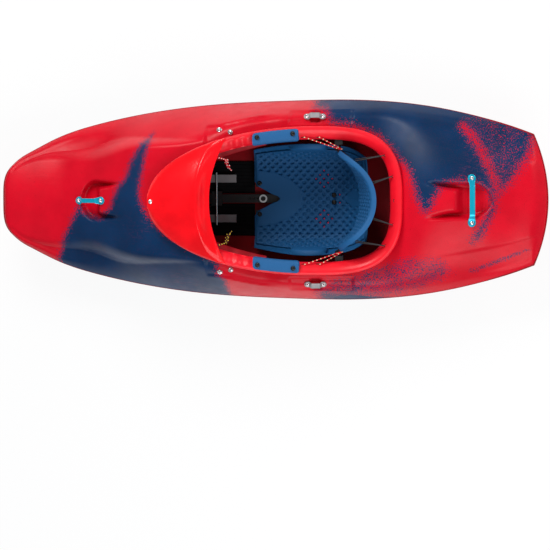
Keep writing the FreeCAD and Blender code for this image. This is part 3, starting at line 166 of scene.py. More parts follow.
def cut_at(outline: Pairs, x: np.ndarray, y: np.ndarray) -> tuple[np.ndarray, np.ndarray, np.ndarray]:
    """Cuts a grid at a closed outline.

    Args:
        outline: corners in order.
        x: first coordinate of each grid point.
        y: second coordinate of each grid point.

    Returns:
        Both coordinates, with the points just inside the outline moved onto it along its own gradient,
        and which quads lie outside it.
    """
    inside = depth_in(outline, x, y) > 0.0
    keep = ~(inside[:-1, :-1] & inside[1:, :-1] & inside[1:, 1:] & inside[:-1, 1:])
    edge = np.zeros(x.shape, bool)
    for rows in (np.s_[:-1], np.s_[1:]):
        for columns in (np.s_[:-1], np.s_[1:]):
            edge[rows, columns] |= keep
    edge &= inside
    ex, ey = x[edge], y[edge]
    for _ in range(2):
        d = depth_in(outline, ex, ey)
        gx = depth_in(outline, ex + 0.5, ey) - depth_in(outline, ex - 0.5, ey)
        gy = depth_in(outline, ex, ey + 0.5) - depth_in(outline, ex, ey - 0.5)
        ex, ey = ex - d * gx, ey - d * gy
    x, y = x.copy(), y.copy()
    x[edge], y[edge] = ex, ey
    return x, y, keep


def spread(low: float, high: float, rows: int, left: float, right: float,
           columns: int) -> tuple[np.ndarray, np.ndarray]:
    """Two grids (rows, columns) of evenly spaced values: one rises along the rows, one along the columns."""
    return np.meshgrid(np.linspace(low, high, rows), np.linspace(left, right, columns), indexing="ij")


def staggered(along: np.ndarray, across: np.ndarray, floor: float, edge: float) -> np.ndarray:
    """Round pits at the corners and centres of squares of two pitches, as a mask from 0 to 1.

    Args:
        along: places square to the rows of pits.
        across: places along the rows.
        floor: radius inside which the mask is 1.
        edge: radius where it reaches 0.
    """
    row = np.round(along / PIT_PITCH)
    shift = PIT_PITCH * (1.0 + np.mod(row, 2.0))
    place = np.mod(across + shift, 2.0 * PIT_PITCH) - PIT_PITCH
    return 1.0 - ramp(np.hypot(along - row * PIT_PITCH, place), floor, edge)


# ---------------------------------------------------------------- meshes


@dataclass
class Patchwork:
    """A mesh put together from grids of points in millimetres."""

    name: str
    points: list[np.ndarray] = field(default_factory=list)
    quads: list[np.ndarray] = field(default_factory=list)
    marks: dict[str, list[np.ndarray]] = field(default_factory=dict)
    count: int = 0

    def grid(self, points: np.ndarray, wrap_u: bool = False, wrap_v: bool = False, flip: bool = False,
             keep: np.ndarray | None = None, **marks: np.ndarray) -> None:
        """Adds a grid of quads over an array of points (rows, columns, 3).

        Args:
            points: the grid's corners.
            wrap_u: whether the last row joins the first.
            wrap_v: whether the last column joins the first.
            flip: turns the faces over.
            keep: which quads to keep, by row and column.
            marks: named numbers for each corner.
        """
        rows, columns = points.shape[:2]
        index = self.count + np.arange(rows * columns).reshape(rows, columns)
        if wrap_u:
            index = np.vstack([index, index[:1]])
        if wrap_v:
            index = np.hstack([index, index[:, :1]])
        corners = [index[:-1, :-1], index[1:, :-1], index[1:, 1:], index[:-1, 1:]]
        quads = np.stack(corners[::-1] if flip else corners, axis=-1)
        quads = quads[keep] if keep is not None else quads.reshape(-1, 4)
        self.points.append(points.reshape(-1, 3))
        self.quads.append(quads)
        for key, values in marks.items():
            blank = [np.zeros(len(p)) for p in self.points[: len(self.points) - 1]]
            self.marks.setdefault(key, blank).append(np.broadcast_to(values, (rows, columns)).reshape(-1))
        for key in self.marks:
            if key not in marks:
                self.marks[key].append(np.zeros(rows * columns))
        self.count += rows * columns

    def slab(self, top: np.ndarray, under: np.ndarray, **marks: np.ndarray) -> None:
        """A closed plate between two grids of the same size, with a strip along each of its four edges."""
        self.grid(top, **marks)
        self.grid(under, flip=True, **marks)
        edges = [(top[0], under[0], True), (top[-1], under[-1], False),
                 (top[:, 0], under[:, 0], False), (top[:, -1], under[:, -1], True)]
        for upper, lower, flip in edges:
            self.grid(np.stack([upper, lower]), flip=flip)

    def build(self, weld: float = 1e-5) -> bpy.types.Object:
        """Makes the object, drops stray points, welds doubles and turns closed parts to face outwards."""
        verts = np.vstack(self.points) * MM
        quads = np.vstack(self.quads)
        used, quads = np.unique(quads, return_inverse=True)
        quads = quads.reshape(-1, 4)
        verts = verts[used]
        mesh = bpy.data.meshes.new(self.name)
        mesh.vertices.add(len(verts))
        mesh.vertices.foreach_set("co", verts.astype(np.float32).ravel())
        mesh.loops.add(quads.size)
        mesh.loops.foreach_set("vertex_index", quads.astype(np.int32).ravel())
        mesh.polygons.add(len(quads))
        mesh.polygons.foreach_set("loop_start", np.arange(0, quads.size, 4, dtype=np.int32))
        mesh.update(calc_edges=True)
        for key, values in self.marks.items():
            attribute = mesh.attributes.new(key, "FLOAT", "POINT")
            attribute.data.foreach_set("value", np.concatenate(values)[used].astype(np.float32))
        mesh.validate()
        if weld > 0.0:
            tidy_mesh(mesh, weld)
        mesh.shade_smooth()
        made = bpy.data.objects.new(self.name, mesh)
        bpy.context.scene.collection.objects.link(made)
        return made


def tidy_mesh(mesh: bpy.types.Mesh, weld: float) -> None:
    """Merges points closer than weld metres and turns the faces of closed parts outwards."""
    work = bmesh.new()
    work.from_mesh(mesh)
    bmesh.ops.remove_doubles(work, verts=work.verts, dist=weld)
    bmesh.ops.dissolve_degenerate(work, dist=weld, edges=work.edges)
    bmesh.ops.recalc_face_normals(work, faces=work.faces)
    work.to_mesh(mesh)
    work.free()


def finish_with(piece: bpy.types.Object, kind: str, **settings: object) -> None:
    """Adds a modifier with these settings and applies it."""
    modifier = piece.modifiers.new(kind.title(), kind)
    for key, value in settings.items():
        setattr(modifier, key, value)
    with bpy.context.temp_override(object=piece, active_object=piece, selected_objects=[piece]):
        bpy.ops.object.modifier_apply(modifier=modifier.name)


def round_off(piece: bpy.types.Object, width: float, angle: float = 35.0, segments: int = 3) -> None:
    """Rounds the sharp edges of a piece by a width in millimetres."""
    finish_with(piece, "BEVEL", width=width * MM, segments=segments, limit_method="ANGLE",
                angle_limit=math.radians(angle), harden_normals=False)
    piece.data.shade_smooth()


def sweep(path: np.ndarray, section: np.ndarray, closed: bool = False,
          side: np.ndarray | None = None) -> np.ndarray:
    """Carries a section along a path without twist.

    Args:
        path: points (n, 3) in millimetres.
        section: outline (m, 2) of (across, up), or (n, m, 2) where it changes along the path.
        closed: whether the path is a ring.
        side: a direction that the section's across starts nearest to.

    Returns:
        Points (n, m, 3): path point + across * side vector + up * up vector.
    """
    ahead = np.roll(path, -1, 0) - np.roll(path, 1, 0) if closed else np.gradient(path, axis=0)
    ahead /= np.linalg.norm(ahead, axis=1, keepdims=True)
    across = np.empty_like(path)
    current = np.array(side if side is not None else np.cross([0.0, 0.0, 1.0], ahead[0]), float)
    if np.linalg.norm(current) < 1e-6:
        current = np.array([0.0, 1.0, 0.0])
    for i, tangent in enumerate(ahead):
        current = current - tangent * current.dot(tangent)
        current /= np.linalg.norm(current)
        across[i] = current
    up = np.cross(ahead, across)
    outline = np.broadcast_to(section, (len(path),) + section.shape[-2:])
    return path[:, None] + outline[..., :1] * across[:, None] + outline[..., 1:] * up[:, None]


def circle(radius: float, count: int) -> np.ndarray:
    """Points (count, 2) of a circle."""
    angle = np.linspace(0.0, 2.0 * math.pi, count, endpoint=False)
    return radius * np.stack([np.cos(angle), np.sin(angle)], axis=-1)


def revolve(profile: Pairs, count: int = 32) -> np.ndarray:
    """Turns a profile of (radius, height) round the Z axis: rows along it, columns round it."""
    shape = np.array(profile, float)
    angle = np.linspace(0.0, 2.0 * math.pi, count, endpoint=False)
    return np.stack([shape[:, :1] * np.cos(angle), shape[:, :1] * np.sin(angle),
                     np.repeat(shape[:, 1:], count, axis=1)], axis=-1)


def placed(points: np.ndarray, origin: Sequence[float], up: Sequence[float],
           along: Sequence[float] = (1.0, 0.0, 0.0)) -> np.ndarray:
    """Moves points from a local frame to one at origin, with Z along up and X as near to along as can be."""
    z = np.array(up, float)
    z /= np.linalg.norm(z)
    y = np.cross(z, np.array(along, float))
    y /= np.linalg.norm(y)
    x = np.cross(y, z)
    return np.array(origin, float) + points @ np.stack([x, y, z])


# ---------------------------------------------------------------- the boat's lines


@dataclass
class Lines:
    """The lines drawing of the shell. All lengths are in millimetres."""

    bow_corner: float = -885.0
    stern_corner: float = 863.0
    bow_inset: float = 25.0
    stern_inset: float = 47.0
    wall: float = 5.0
    well_depth: float = 40.0
    beam: Curve = spline([
        (-885, 112), (-865, 132), (-820, 162), (-740, 205), (-620, 247), (-460, 283), (-300, 307), (-140, 321),
        (60, 329), (220, 332), (380, 326), (540, 306), (700, 270), (800, 240), (863, 217)])
    seam: Curve = spline([
        (-910, 226), (-862, 206), (-803, 182), (-744, 163), (-686, 150), (-600, 141), (-480, 141), (-334, 147),
        (-129, 153), (174, 161), (350, 164), (526, 167), (701, 172), (877, 178), (910, 179)])
    keel: Curve = spline([
        (-910, 196), (-880, 178), (-850, 160), (-780, 126), (-700, 92), (-620, 63), (-540, 44), (-460, 29),
        (-340, 13), (-220, 4), (-100, 0), (0, 1), (102, 7), (222, 16), (342, 25), (422, 34), (503, 45),
        (583, 61), (663, 82), (743, 105), (823, 130), (893, 155), (910, 162)])
    crown: Curve = spline([
        (-905, 241), (-880, 243), (-820, 243), (-780, 244), (-740, 247), (-700, 254), (-660, 268), (-619, 284),
        (-539, 317), (-459, 348), (-399, 361), (-300, 366), (-200, 363), (-120, 350), (0, 322), (100, 297),
        (200, 276), (310, 263), (380, 270), (440, 290), (503, 306), (543, 309), (583, 306), (623, 299),
        (703, 277), (743, 260), (783, 243), (823, 229), (863, 219)])
    camber: Curve = spline([
        (-885, 0.0012), (-780, 0.0012), (-616, 0.0015), (-500, 0.0007), (-420, 0.0003), (-300, 0.0001),
        (-120, 0.0001), (300, 0.00012), (440, 0.0006), (576, 0.0011), (733, 0.00095), (833, 0.0006),
        (863, 0.0004)])
    flank_slope: Curve = spline([
        (-885, 2.2), (-810, 2.1), (-700, 1.7), (-616, 1.7), (-520, 2.0), (-420, 2.6), (-300, 2.5), (-120, 3.5),
        (100, 3.4), (300, 2.5), (420, 2.3), (576, 1.8), (733, 1.15), (863, 0.75)])
    flank_level: Curve = spline([
        (-885, 44), (-735, 50), (-616, 70), (-540, 105), (-450, 210), (-350, 300), (0, 420), (300, 320),
        (440, 230), (576, 170), (733, 120), (863, 60)])
    flank_step: Curve = spline([(-885, 22), (-810, 26), (-735, 48), (-616, 74), (-520, 66),
                                (-420, 80), (863, 90)])
    section: Curve = spline([(0.0, 1.0), (0.5, 1.0), (0.66, 0.985), (0.74, 0.90), (0.83, 0.72), (0.885, 0.40),
                             (0.94, 0.17), (1.0, 0.0)])
    rim_line: Curve = spline([(-399, 394), (-300, 395), (-150, 385), (-40, 363), (117, 331), (230, 309),
                              (310, 300), (380, 300), (440, 306)])

    def half_beam(self, x: np.ndarray) -> np.ndarray:
        """Half the beam at each station."""
        return self.beam(np.clip(x, self.bow_corner, self.stern_corner))

    def bow_edge(self, v: np.ndarray) -> np.ndarray:
        """Station of the blunt bow: an arch of the fourth power of the share of the beam."""
        return self.bow_corner - self.bow_inset * (1.0 - v**4)

    def stern_edge(self, v: np.ndarray) -> np.ndarray:
        """Station of the arched stern: a parabola of the share of the beam."""
        return self.stern_corner + self.stern_inset * (1.0 - v * v)

    def from_end(self, x: np.ndarray, share: np.ndarray) -> np.ndarray:
        """Distance from the nearer end of the boat along its length."""
        return np.maximum(np.minimum(x - self.bow_edge(share), self.stern_edge(share) - x), 0.0)

    def bow_well(self, x: np.ndarray, y: np.ndarray) -> np.ndarray:
        """Depth of the crescent under the bow handle: a round front, and a tongue between two arms."""
        front, middle, tongue, rear, width = -638.0, -588.0, -574.0, -455.0, 72.0
        reach = np.clip((middle - x) / (middle - front), 0.0, 1.0)
        swept = width - 12.0 * (x - middle) / (rear - middle)
        outer = np.where(x < middle, width * np.sqrt(1.0 - reach**2), swept)
        share = (x - tongue) / (rear - tongue)
        half = 38.0 + 24.0 * np.maximum(share, 0.0)
        clear = 1.0 - ramp(half - np.abs(y), -12.0, 4.0) * ramp(x, tongue - 12.0, tongue + 4.0)
        depth = self.well_depth * ramp(outer - np.abs(y), 0.0, 18.0) * clear * (1.0 - ramp(share, 0.25, 1.0))
        return np.where((x > front - 10.0) & (x < rear), depth, 0.0)

    def stern_well(self, x: np.ndarray, y: np.ndarray) -> np.ndarray:
        """Depth of the hollow under the stern handle: two grooves beside a tongue that end in one hollow."""
        front, tongue, middle, rear, width = 492.0, 614.0, 668.0, 732.0, 60.0
        reach = np.clip((x - middle) / (rear - middle), 0.0, 1.0)
        swept = width + 8.0 * (middle - x) / (middle - front)
        outer = np.where(x > middle, width * np.sqrt(1.0 - reach**2), swept)
        share = (tongue - x) / (tongue - front)
        half = 35.0 + 31.0 * np.maximum(share, 0.0) ** 1.5
        clear = 1.0 - ramp(half - np.abs(y), -10.0, 4.0) * ramp(tongue + 26.0 - x, 0.0, 30.0)
        rising = 1.0 - 0.6 * ramp(x, middle, rear)
        depth = self.well_depth * ramp(outer - np.abs(y), 0.0, 16.0) * clear
        depth = depth * (1.0 - ramp(share, 0.3, 1.0)) * rising
        return np.where((x > front) & (x < rear + 10.0), depth, 0.0)

    def pockets(self, x: np.ndarray, y: np.ndarray) -> np.ndarray:
        """Depth of the flat pockets beside the rim: one for each lifting bar, one for each hook's screws."""
        along = 103.5 - np.abs(x - 167.0)
        across = 20.0 - np.abs(np.abs(y) - 276.0)
        under = 17.0 - np.abs(x - 147.0)
        bars = (9.0 * ramp(along, -2.0, 4.0) + 12.0 * ramp(under, -1.0, 5.0)) * ramp(across, -2.0, 4.0)
        outer = 248.0 + 34.0 * ramp(x, -205.0, 20.0)
        along = ramp(x, -211.0, -204.0) * (1.0 - ramp(x, -20.0, 44.0))
        hooks = 9.0 * along * ramp(outer - np.abs(y), -2.0, 5.0)
        return np.where(np.abs(x) < 300.0, bars + hooks, 0.0)

    def deck(self, x: np.ndarray, y: np.ndarray) -> np.ndarray:
        """Height of the deck.

        The crown line less a parabola across, met by a flank that rises from the seam as
        level * (1 - exp(-slope * inside / level)), and near the ends by a bevel.
        """
        width = self.half_beam(x)
        share = np.minimum(np.abs(y) / width, 1.0)
        inside = np.maximum(width - np.abs(y), 0.0)
        from_end = self.from_end(x, share)
        seam = self.seam(x)
        crown = self.crown(x) - self.camber(x) * y * y
        level = self.flank_level(x)
        flank = seam + level * (1.0 - np.exp(-self.flank_slope(x) * inside / level))
        flank = flank + 1.7 * np.maximum(inside - self.flank_step(x), 0.0)
        end = seam + np.where(x < 0.0, 1.9, 1.0) * from_end
        rounding = np.minimum(np.minimum(inside, from_end) / 30.0, 1.0)
        height = soft_min(soft_min(crown, flank, 34.0 * rounding), end, 14.0 * rounding)
        height = height - self.bow_well(x, y) - self.stern_well(x, y) - self.pockets(x, y)
        return np.maximum(height, seam)

    def hull(self, x: np.ndarray, y: np.ndarray) -> np.ndarray:
        """Height of the hull: the seam less the local depth times the section's share."""
        share = np.minimum(np.abs(y) / self.half_beam(x), 1.0)
        from_end = self.from_end(x, share)
        seam = self.seam(x)
        drop = soft_min(seam - self.keel(x), 2.2 * from_end, 16.0 * np.minimum(from_end / 10.0, 1.0))
        return seam - drop * np.where(share < 1.0, np.clip(self.section(share), 0.0, 1.0), 0.0)

    def plan(self, stations: np.ndarray, shares: np.ndarray) -> tuple[np.ndarray, np.ndarray]:
        """Grid of (x, y): stations bend to the shape of the ends over the last 200 mm."""
        station, share = np.meshgrid(stations, shares, indexing="ij")
        bow = (1.0 - np.minimum((station - self.bow_corner) / 200.0, 1.0)) ** 2
        stern = (1.0 - np.minimum((self.stern_corner - station) / 200.0, 1.0)) ** 2
        x = station + bow * (self.bow_edge(share) - self.bow_corner)
        x = x + stern * (self.stern_edge(share) - self.stern_corner)
        return x, share * self.half_beam(x)

    def normal(self, x: float, y: float) -> np.ndarray:
        """Unit vector square to the deck."""
        step = 4.0
        at = np.array([x + step, x - step, x, x]), np.array([y, y, y + step, y - step])
        h = self.deck(*at)
        vector = np.array([-(h[0] - h[1]) / (2.0 * step), -(h[2] - h[3]) / (2.0 * step), 1.0])
        return vector / np.linalg.norm(vector)


@dataclass
class Rim:
    """The outline and section of the cockpit rim."""

    middle: float = 150.0
    front: float = 549.0
    rear: float = 290.0
    half: float = 246.0
    square: float = 2.9

    def outline(self, angle: np.ndarray, inset: float | np.ndarray = 0.0) -> tuple[np.ndarray, np.ndarray]:
        """Points of the outline: an ellipse ahead of the middle, a superellipse behind it, moved inwards."""

        def at(turn: np.ndarray) -> tuple[np.ndarray, np.ndarray]:
            """The outline itself at an angle from the stern."""
            c, s = np.cos(turn), np.sin(turn)
            power = np.where(c > 0.0, 2.0 / self.square, 1.0)
            reach = np.where(c > 0.0, self.rear, self.front)
            x = self.middle + reach * np.sign(c) * np.abs(c) ** power
            return x, self.half * np.sign(s) * np.abs(s) ** power

        x, y = at(angle)
        ahead, behind = at(angle + 0.01), at(angle - 0.01)
        run_x, run_y = ahead[0] - behind[0], ahead[1] - behind[1]
        length = np.hypot(run_x, run_y)
        return x - inset * run_y / length, y + inset * run_x / length

    def width(self, x: np.ndarray, inset: float | np.ndarray = 0.0) -> np.ndarray:
        """Half the rim's width at a station."""
        ahead = np.asarray(x, float) < self.middle
        reach = np.where(ahead, (self.middle - x) / self.front, (x - self.middle) / self.rear)
        share = np.clip(reach, 0.0, 1.0)
        power = np.where(ahead, 2.0, self.square)
        return self.half * (1.0 - share**power) ** (1.0 / power) - inset

    def angles(self, count: int) -> np.ndarray:
        """Angles that lie at equal steps along the outline."""
        fine = np.linspace(0.0, 2.0 * math.pi, 4001)
        x, y = self.outline(fine)
        run = np.concatenate([[0.0], np.cumsum(np.hypot(np.diff(x), np.diff(y)))])
        return np.interp(np.linspace(0.0, run[-1], count, endpoint=False), run, fine)


LINES = Lines()
RIM = Rim()

# Cord holes in the slope of the rim: stations of the tension cords, turns from the stern of the bungees.
TENSION_STATIONS = (112.0, 161.0)
TENSION_INSET = 35.0
BUNGEE_TURNS = (0.094, 0.0336)
BUNGEE_INSET = 27.0


def rim_height(x: float) -> float:
    """Height of the rim's crown at one station."""
    return float(LINES.rim_line(np.array(x)))


def rim_place(angle: float, inset: float = 0.0) -> tuple[float, float]:
    """One point of the rim's outline."""
    x, y = RIM.outline(np.array(angle), inset)
    return float(x), float(y)


# ---------------------------------------------------------------- shader graphs

Colour = tuple[float, float, float]


class Graph:
    """A node tree, with short ways to add to it."""

    def __init__(self, tree: bpy.types.NodeTree) -> None:
        """Empties the tree and keeps it."""
        tree.nodes.clear()
        self.tree = tree

    def feed(self, socket: bpy.types.NodeSocket, value: object) -> None:
        """Links a socket to another one, or sets its own value."""
        if isinstance(value, bpy.types.NodeSocket):
            self.tree.links.new(value, socket)
        elif isinstance(value, tuple) and len(value) == 3 and socket.type == "RGBA":
            socket.default_value = (*value, 1.0)
        else:
            socket.default_value = value

    def node(self, kind: str, inputs: dict | None = None, **settings: object) -> bpy.types.Node:
        """Adds a node with these settings and inputs."""
        made = self.tree.nodes.new(kind)
        for key, value in settings.items():
            setattr(made, key, value)
        for key, value in (inputs or {}).items():
            self.feed(made.inputs[key], value)
        return made

    def maths(self, what: str, a: object, b: object = 0.0, c: object = 0.0, clamp: bool = False):
        """A Math node's result."""
        made = self.node("ShaderNodeMath", {0: a, 1: b, 2: c}, operation=what, use_clamp=clamp)
        return made.outputs[0]

    def between(self, value: object, low: float, high: float, first: float = 0.0, last: float = 1.0):
        """A smooth step of a value from first at low to last at high."""
        made = self.node("ShaderNodeMapRange", {0: value, 1: low, 2: high, 3: first, 4: last},
                         interpolation_type="SMOOTHSTEP")
        return made.outputs[0]

    def mixed(self, share: object, a: object, b: object, how: str = "MIX"):
        """A colour between two colours."""
        made = self.node("ShaderNodeMix", data_type="RGBA", blend_type=how)
        self.feed(made.inputs[0], share)
        self.feed(made.inputs[6], a)
        self.feed(made.inputs[7], b)
        return made.outputs[2]

    def noise(self, place: object, size_mm: float, detail: float = 3.0, rough: float = 0.55):
        """Noise whose lumps are about size_mm across."""
        made = self.node("ShaderNodeTexNoise", {"Vector": place, "Scale": 1000.0 / size_mm, "Detail": detail,
                                                "Roughness": rough})
        return made.outputs["Fac"]

    def texture(self, place: object, scale: object, detail: float) -> object:
        """A noise texture's value at its default roughness."""
        made = self.node("ShaderNodeTexNoise", {"Vector": place, "Scale": scale, "Detail": detail})
        return made.outputs["Fac"]

    def raised(self, height: object, strength: float, distance: object, normal: object) -> object:
        """A bump over another normal."""
        made = self.node("ShaderNodeBump", {"Height": height, "Strength": strength, "Distance": distance})
        self.feed(made.inputs["Normal"], normal)
        return made.outputs["Normal"]

    def place(self):
        """The Object coordinates."""
        return self.node("ShaderNodeTexCoord").outputs["Object"]

    def attribute(self, name: str):
        """A named number on the mesh."""
        return self.node("ShaderNodeAttribute", attribute_name=name).outputs["Fac"]


def shader_group(name: str, inputs: dict[str, float], outputs: dict[str, str],
                 draw: Callable[[Graph, dict, dict], None]) -> bpy.types.NodeTree:
    """Builds a shader node group once.

    Args:
        name: the group's name.
        inputs: number sockets and their defaults. "Place" is added as a vector.
        outputs: socket names and kinds.
        draw: fills the group, given the graph, the input sockets and the output node's sockets.

    Returns:
        The group.
    """
    if name in bpy.data.node_groups:
        return bpy.data.node_groups[name]
    group = bpy.data.node_groups.new(name, "ShaderNodeTree")
    group.interface.new_socket("Place", in_out="INPUT", socket_type="NodeSocketVector")
    for key, value in inputs.items():
        socket = group.interface.new_socket(key, in_out="INPUT", socket_type="NodeSocketFloat")
        socket.default_value = value
    for key, kind in outputs.items():
        group.interface.new_socket(key, in_out="OUTPUT", socket_type=kind)
    graph = Graph(group)
    entry = graph.node("NodeGroupInput")
    leave = graph.node("NodeGroupOutput")
    draw(graph, {s.name: s for s in entry.outputs if s.name}, {s.name: s for s in leave.inputs if s.name})
    return group


def grain_group() -> bpy.types.NodeTree:
    """Fine moulded grain: two sizes of lumps as a bump, and a little change of gloss."""

    def draw(graph: Graph, given: dict, out: dict) -> None:
        """Adds the two sizes, one a third of the other."""
        scale = graph.maths("DIVIDE", 1.0, given["Size"])
        coarse = graph.texture(given["Place"], scale, 2.0)
        fine = graph.texture(given["Place"], graph.maths("MULTIPLY", scale, 3.1), 1.0)
        height = graph.maths("MULTIPLY_ADD", fine, 0.4, coarse)
        bumped = graph.node("ShaderNodeBump", {"Height": height, "Strength": 1.0, "Distance": given["Depth"]})
        graph.feed(out["Normal"], bumped.outputs["Normal"])
        graph.feed(out["Grain"], height)

    return shader_group("moulded_grain", {"Size": 0.002, "Depth": 0.0001},
                        {"Normal": "NodeSocketVector", "Grain": "NodeSocketFloat"}, draw)


def scuff_group() -> bpy.types.NodeTree:
    """Long faint scratches and rub marks as a mask from 0 to 1."""

    def draw(graph: Graph, given: dict, out: dict) -> None:
        """Stretches noise along two slanted directions and keeps its thin crests."""
        masks = []
        for turn, stretch in ((0.3, (3.0, 60.0, 60.0)), (-0.9, (5.0, 90.0, 90.0))):
            turned = graph.node("ShaderNodeMapping", {"Vector": given["Place"], "Rotation": (0.0, 0.0, turn),
                                                      "Scale": stretch})
            lines = graph.texture(turned.outputs[0], 1.0, 2.0)
            crest = graph.maths("ABSOLUTE", graph.maths("SUBTRACT", lines, 0.5))
            masks.append(graph.between(crest, 0.0, 0.012, 1.0, 0.0))
        where = graph.between(graph.texture(given["Place"], 5.0, 2.0), 0.5, 0.66)
        both = graph.maths("MULTIPLY", graph.maths("MAXIMUM", masks[0], masks[1]), where)
        graph.feed(out["Mask"], graph.maths("MULTIPLY", both, given["Amount"]))

    return shader_group("scuffs", {"Amount": 0.5}, {"Mask": "NodeSocketFloat"}, draw)


def braid_group() -> bpy.types.NodeTree:
    """Plaited sheath of a cord from its own UV map: strands in two slants, as a height and a fleck mask."""

    def draw(graph: Graph, given: dict, out: dict) -> None:
        """Crosses two sets of slanted waves; flecks are where one strand in a few comes to the top."""
        parts = graph.node("ShaderNodeSeparateXYZ", {"Vector": given["Place"]})
        along = graph.maths("DIVIDE", parts.outputs["X"], given["Pitch"])
        round_it = graph.maths("MULTIPLY", parts.outputs["Y"], given["Strands"])
        left = graph.maths("SINE", graph.maths("MULTIPLY", graph.maths("ADD", along, round_it), math.tau))
        right = graph.maths("SINE", graph.maths("MULTIPLY", graph.maths("SUBTRACT", along, round_it), math.tau))
        graph.feed(out["Height"], graph.maths("MAXIMUM", left, right))
        fleck = graph.maths("MULTIPLY", graph.maths("MULTIPLY_ADD", left, 0.5, 0.5),
                            graph.maths("MULTIPLY_ADD", right, 0.5, 0.5))
        graph.feed(out["Fleck"], graph.between(fleck, 0.6, 0.8))

    return shader_group("braid", {"Pitch": 0.004, "Strands": 2.0},
                        {"Height": "NodeSocketFloat", "Fleck": "NodeSocketFloat"}, draw)


@dataclass(frozen=True)
class Finish:
    """A moulded or machined surface with fine grain, uneven gloss and scuffs."""

    name: str
    colour: Colour
    roughness: float = 0.4
    grain_mm: float = 1.5
    depth_mm: float = 0.05
    uneven: float = 0.12
    scuffs: float = 0.2
    metallic: float = 0.0
    coat: float = 0.0
    specular: float = 0.5

    def base(self, graph: Graph, place: object) -> object:
        """The colour over the surface: the finish's own, a little lighter and darker in soft clouds."""
        cloud = graph.noise(place, 90.0)
        dark = tuple(0.86 * c for c in self.colour)
        light = tuple(min(1.08 * c + 0.002, 1.0) for c in self.colour)
        return graph.mixed(graph.between(cloud, 0.3, 0.7), dark, light)

    def lift(self, graph: Graph, place: object, normal: object) -> object:
        """The normal over the surface, here the grain's own."""
        return normal

    def make(self) -> bpy.types.Material:
        """Builds the material, or finds it if it is built."""
        if self.name in bpy.data.materials:
            return bpy.data.materials[self.name]
        material = bpy.data.materials.new(self.name)
        material.use_nodes = True
        graph = Graph(material.node_tree)
        place = graph.place()
        grain = graph.node("ShaderNodeGroup", node_tree=grain_group())
        graph.feed(grain.inputs["Place"], place)
        grain.inputs["Size"].default_value = self.grain_mm * MM
        grain.inputs["Depth"].default_value = self.depth_mm * MM
        scuffs = graph.node("ShaderNodeGroup", node_tree=scuff_group())
        graph.feed(scuffs.inputs["Place"], place)
        scuffs.inputs["Amount"].default_value = self.scuffs
        base = self.base(graph, place)
        pale = tuple(min(c * 1.2 + 0.05, 1.0) for c in self.colour)
        base = graph.mixed(graph.maths("MULTIPLY", scuffs.outputs["Mask"], 0.5), base, pale)
        gloss = graph.between(graph.noise(place, 35.0), 0.3, 0.7, self.roughness * (1.0 - self.uneven),
                              self.roughness * (1.0 + self.uneven))
        gloss = graph.maths("MULTIPLY_ADD", scuffs.outputs["Mask"], 0.15, gloss, clamp=True)
        shader = graph.node("ShaderNodeBsdfPrincipled")
        graph.feed(shader.inputs["Base Color"], base)
        graph.feed(shader.inputs["Roughness"], gloss)
        graph.feed(shader.inputs["Normal"], self.lift(graph, place, grain.outputs["Normal"]))
        shader.inputs["Metallic"].default_value = self.metallic
        shader.inputs["Coat Weight"].default_value = self.coat
        shader.inputs["Coat Roughness"].default_value = 0.08
        shader.inputs["Specular IOR Level"].default_value = self.specular
        surface = graph.node("ShaderNodeOutputMaterial")
        graph.feed(surface.inputs["Surface"], shader.outputs["BSDF"])
        return material


@dataclass(frozen=True)
class Marbled(Finish):
    """Moulded plastic of two colours that meet in a grainy fringe. Reads "navy" (-1 to 1) and "haze"."""

    second: Colour = (0.001, 0.022, 0.072)

    def base(self, graph: Graph, place: object) -> object:
        """The second colour where navy plus noise is above nought, or where haze lets specks in."""
        field_value = graph.attribute("navy")
        haze = graph.attribute("haze")
        drift = graph.maths("SUBTRACT", graph.noise(place, 55.0, 4.0), 0.5)
        fine = graph.maths("SUBTRACT", graph.noise(place, 4.2, 1.0, 0.7), 0.5)
        finer = graph.maths("SUBTRACT", graph.noise(place, 2.4, 0.0), 0.5)
        value = graph.maths("MULTIPLY_ADD", drift, 1.0, field_value)
        value = graph.maths("MULTIPLY_ADD", fine, 3.6, value)
        value = graph.maths("MULTIPLY_ADD", finer, 5.2, value)
        mask = graph.between(value, -0.3, 0.3)
        cover = graph.maths("MULTIPLY_ADD", graph.noise(place, 45.0, 3.0), 0.35, haze)
        dust = graph.maths("MULTIPLY_ADD", graph.maths("ADD", fine, finer), 1.3, cover)
        dust = graph.maths("MULTIPLY", graph.between(dust, 0.62, 0.82), graph.between(haze, 0.0, 0.2))
        speck = graph.between(graph.noise(place, 2.2, 0.0), 0.71, 0.77, 0.0, 0.45)
        mask = graph.maths("MAXIMUM", mask, dust)
        red_specks = graph.maths("MULTIPLY", speck, graph.maths("SUBTRACT", 1.0, mask))
        tone = graph.between(graph.noise(place, 120.0), 0.3, 0.7)
        first = graph.mixed(tone, tuple(0.86 * c for c in self.colour), self.colour)
        first = graph.mixed(red_specks, first, tuple(0.28 * c for c in self.colour))
        dusty = graph.between(graph.noise(place, 1.8, 0.0), 0.62, 0.75, 0.0, 0.35)
        second = graph.mixed(tone, self.second, tuple(1.35 * c for c in self.second))
        second = graph.mixed(dusty, second, (0.10, 0.012, 0.035))
        return graph.mixed(mask, first, second)


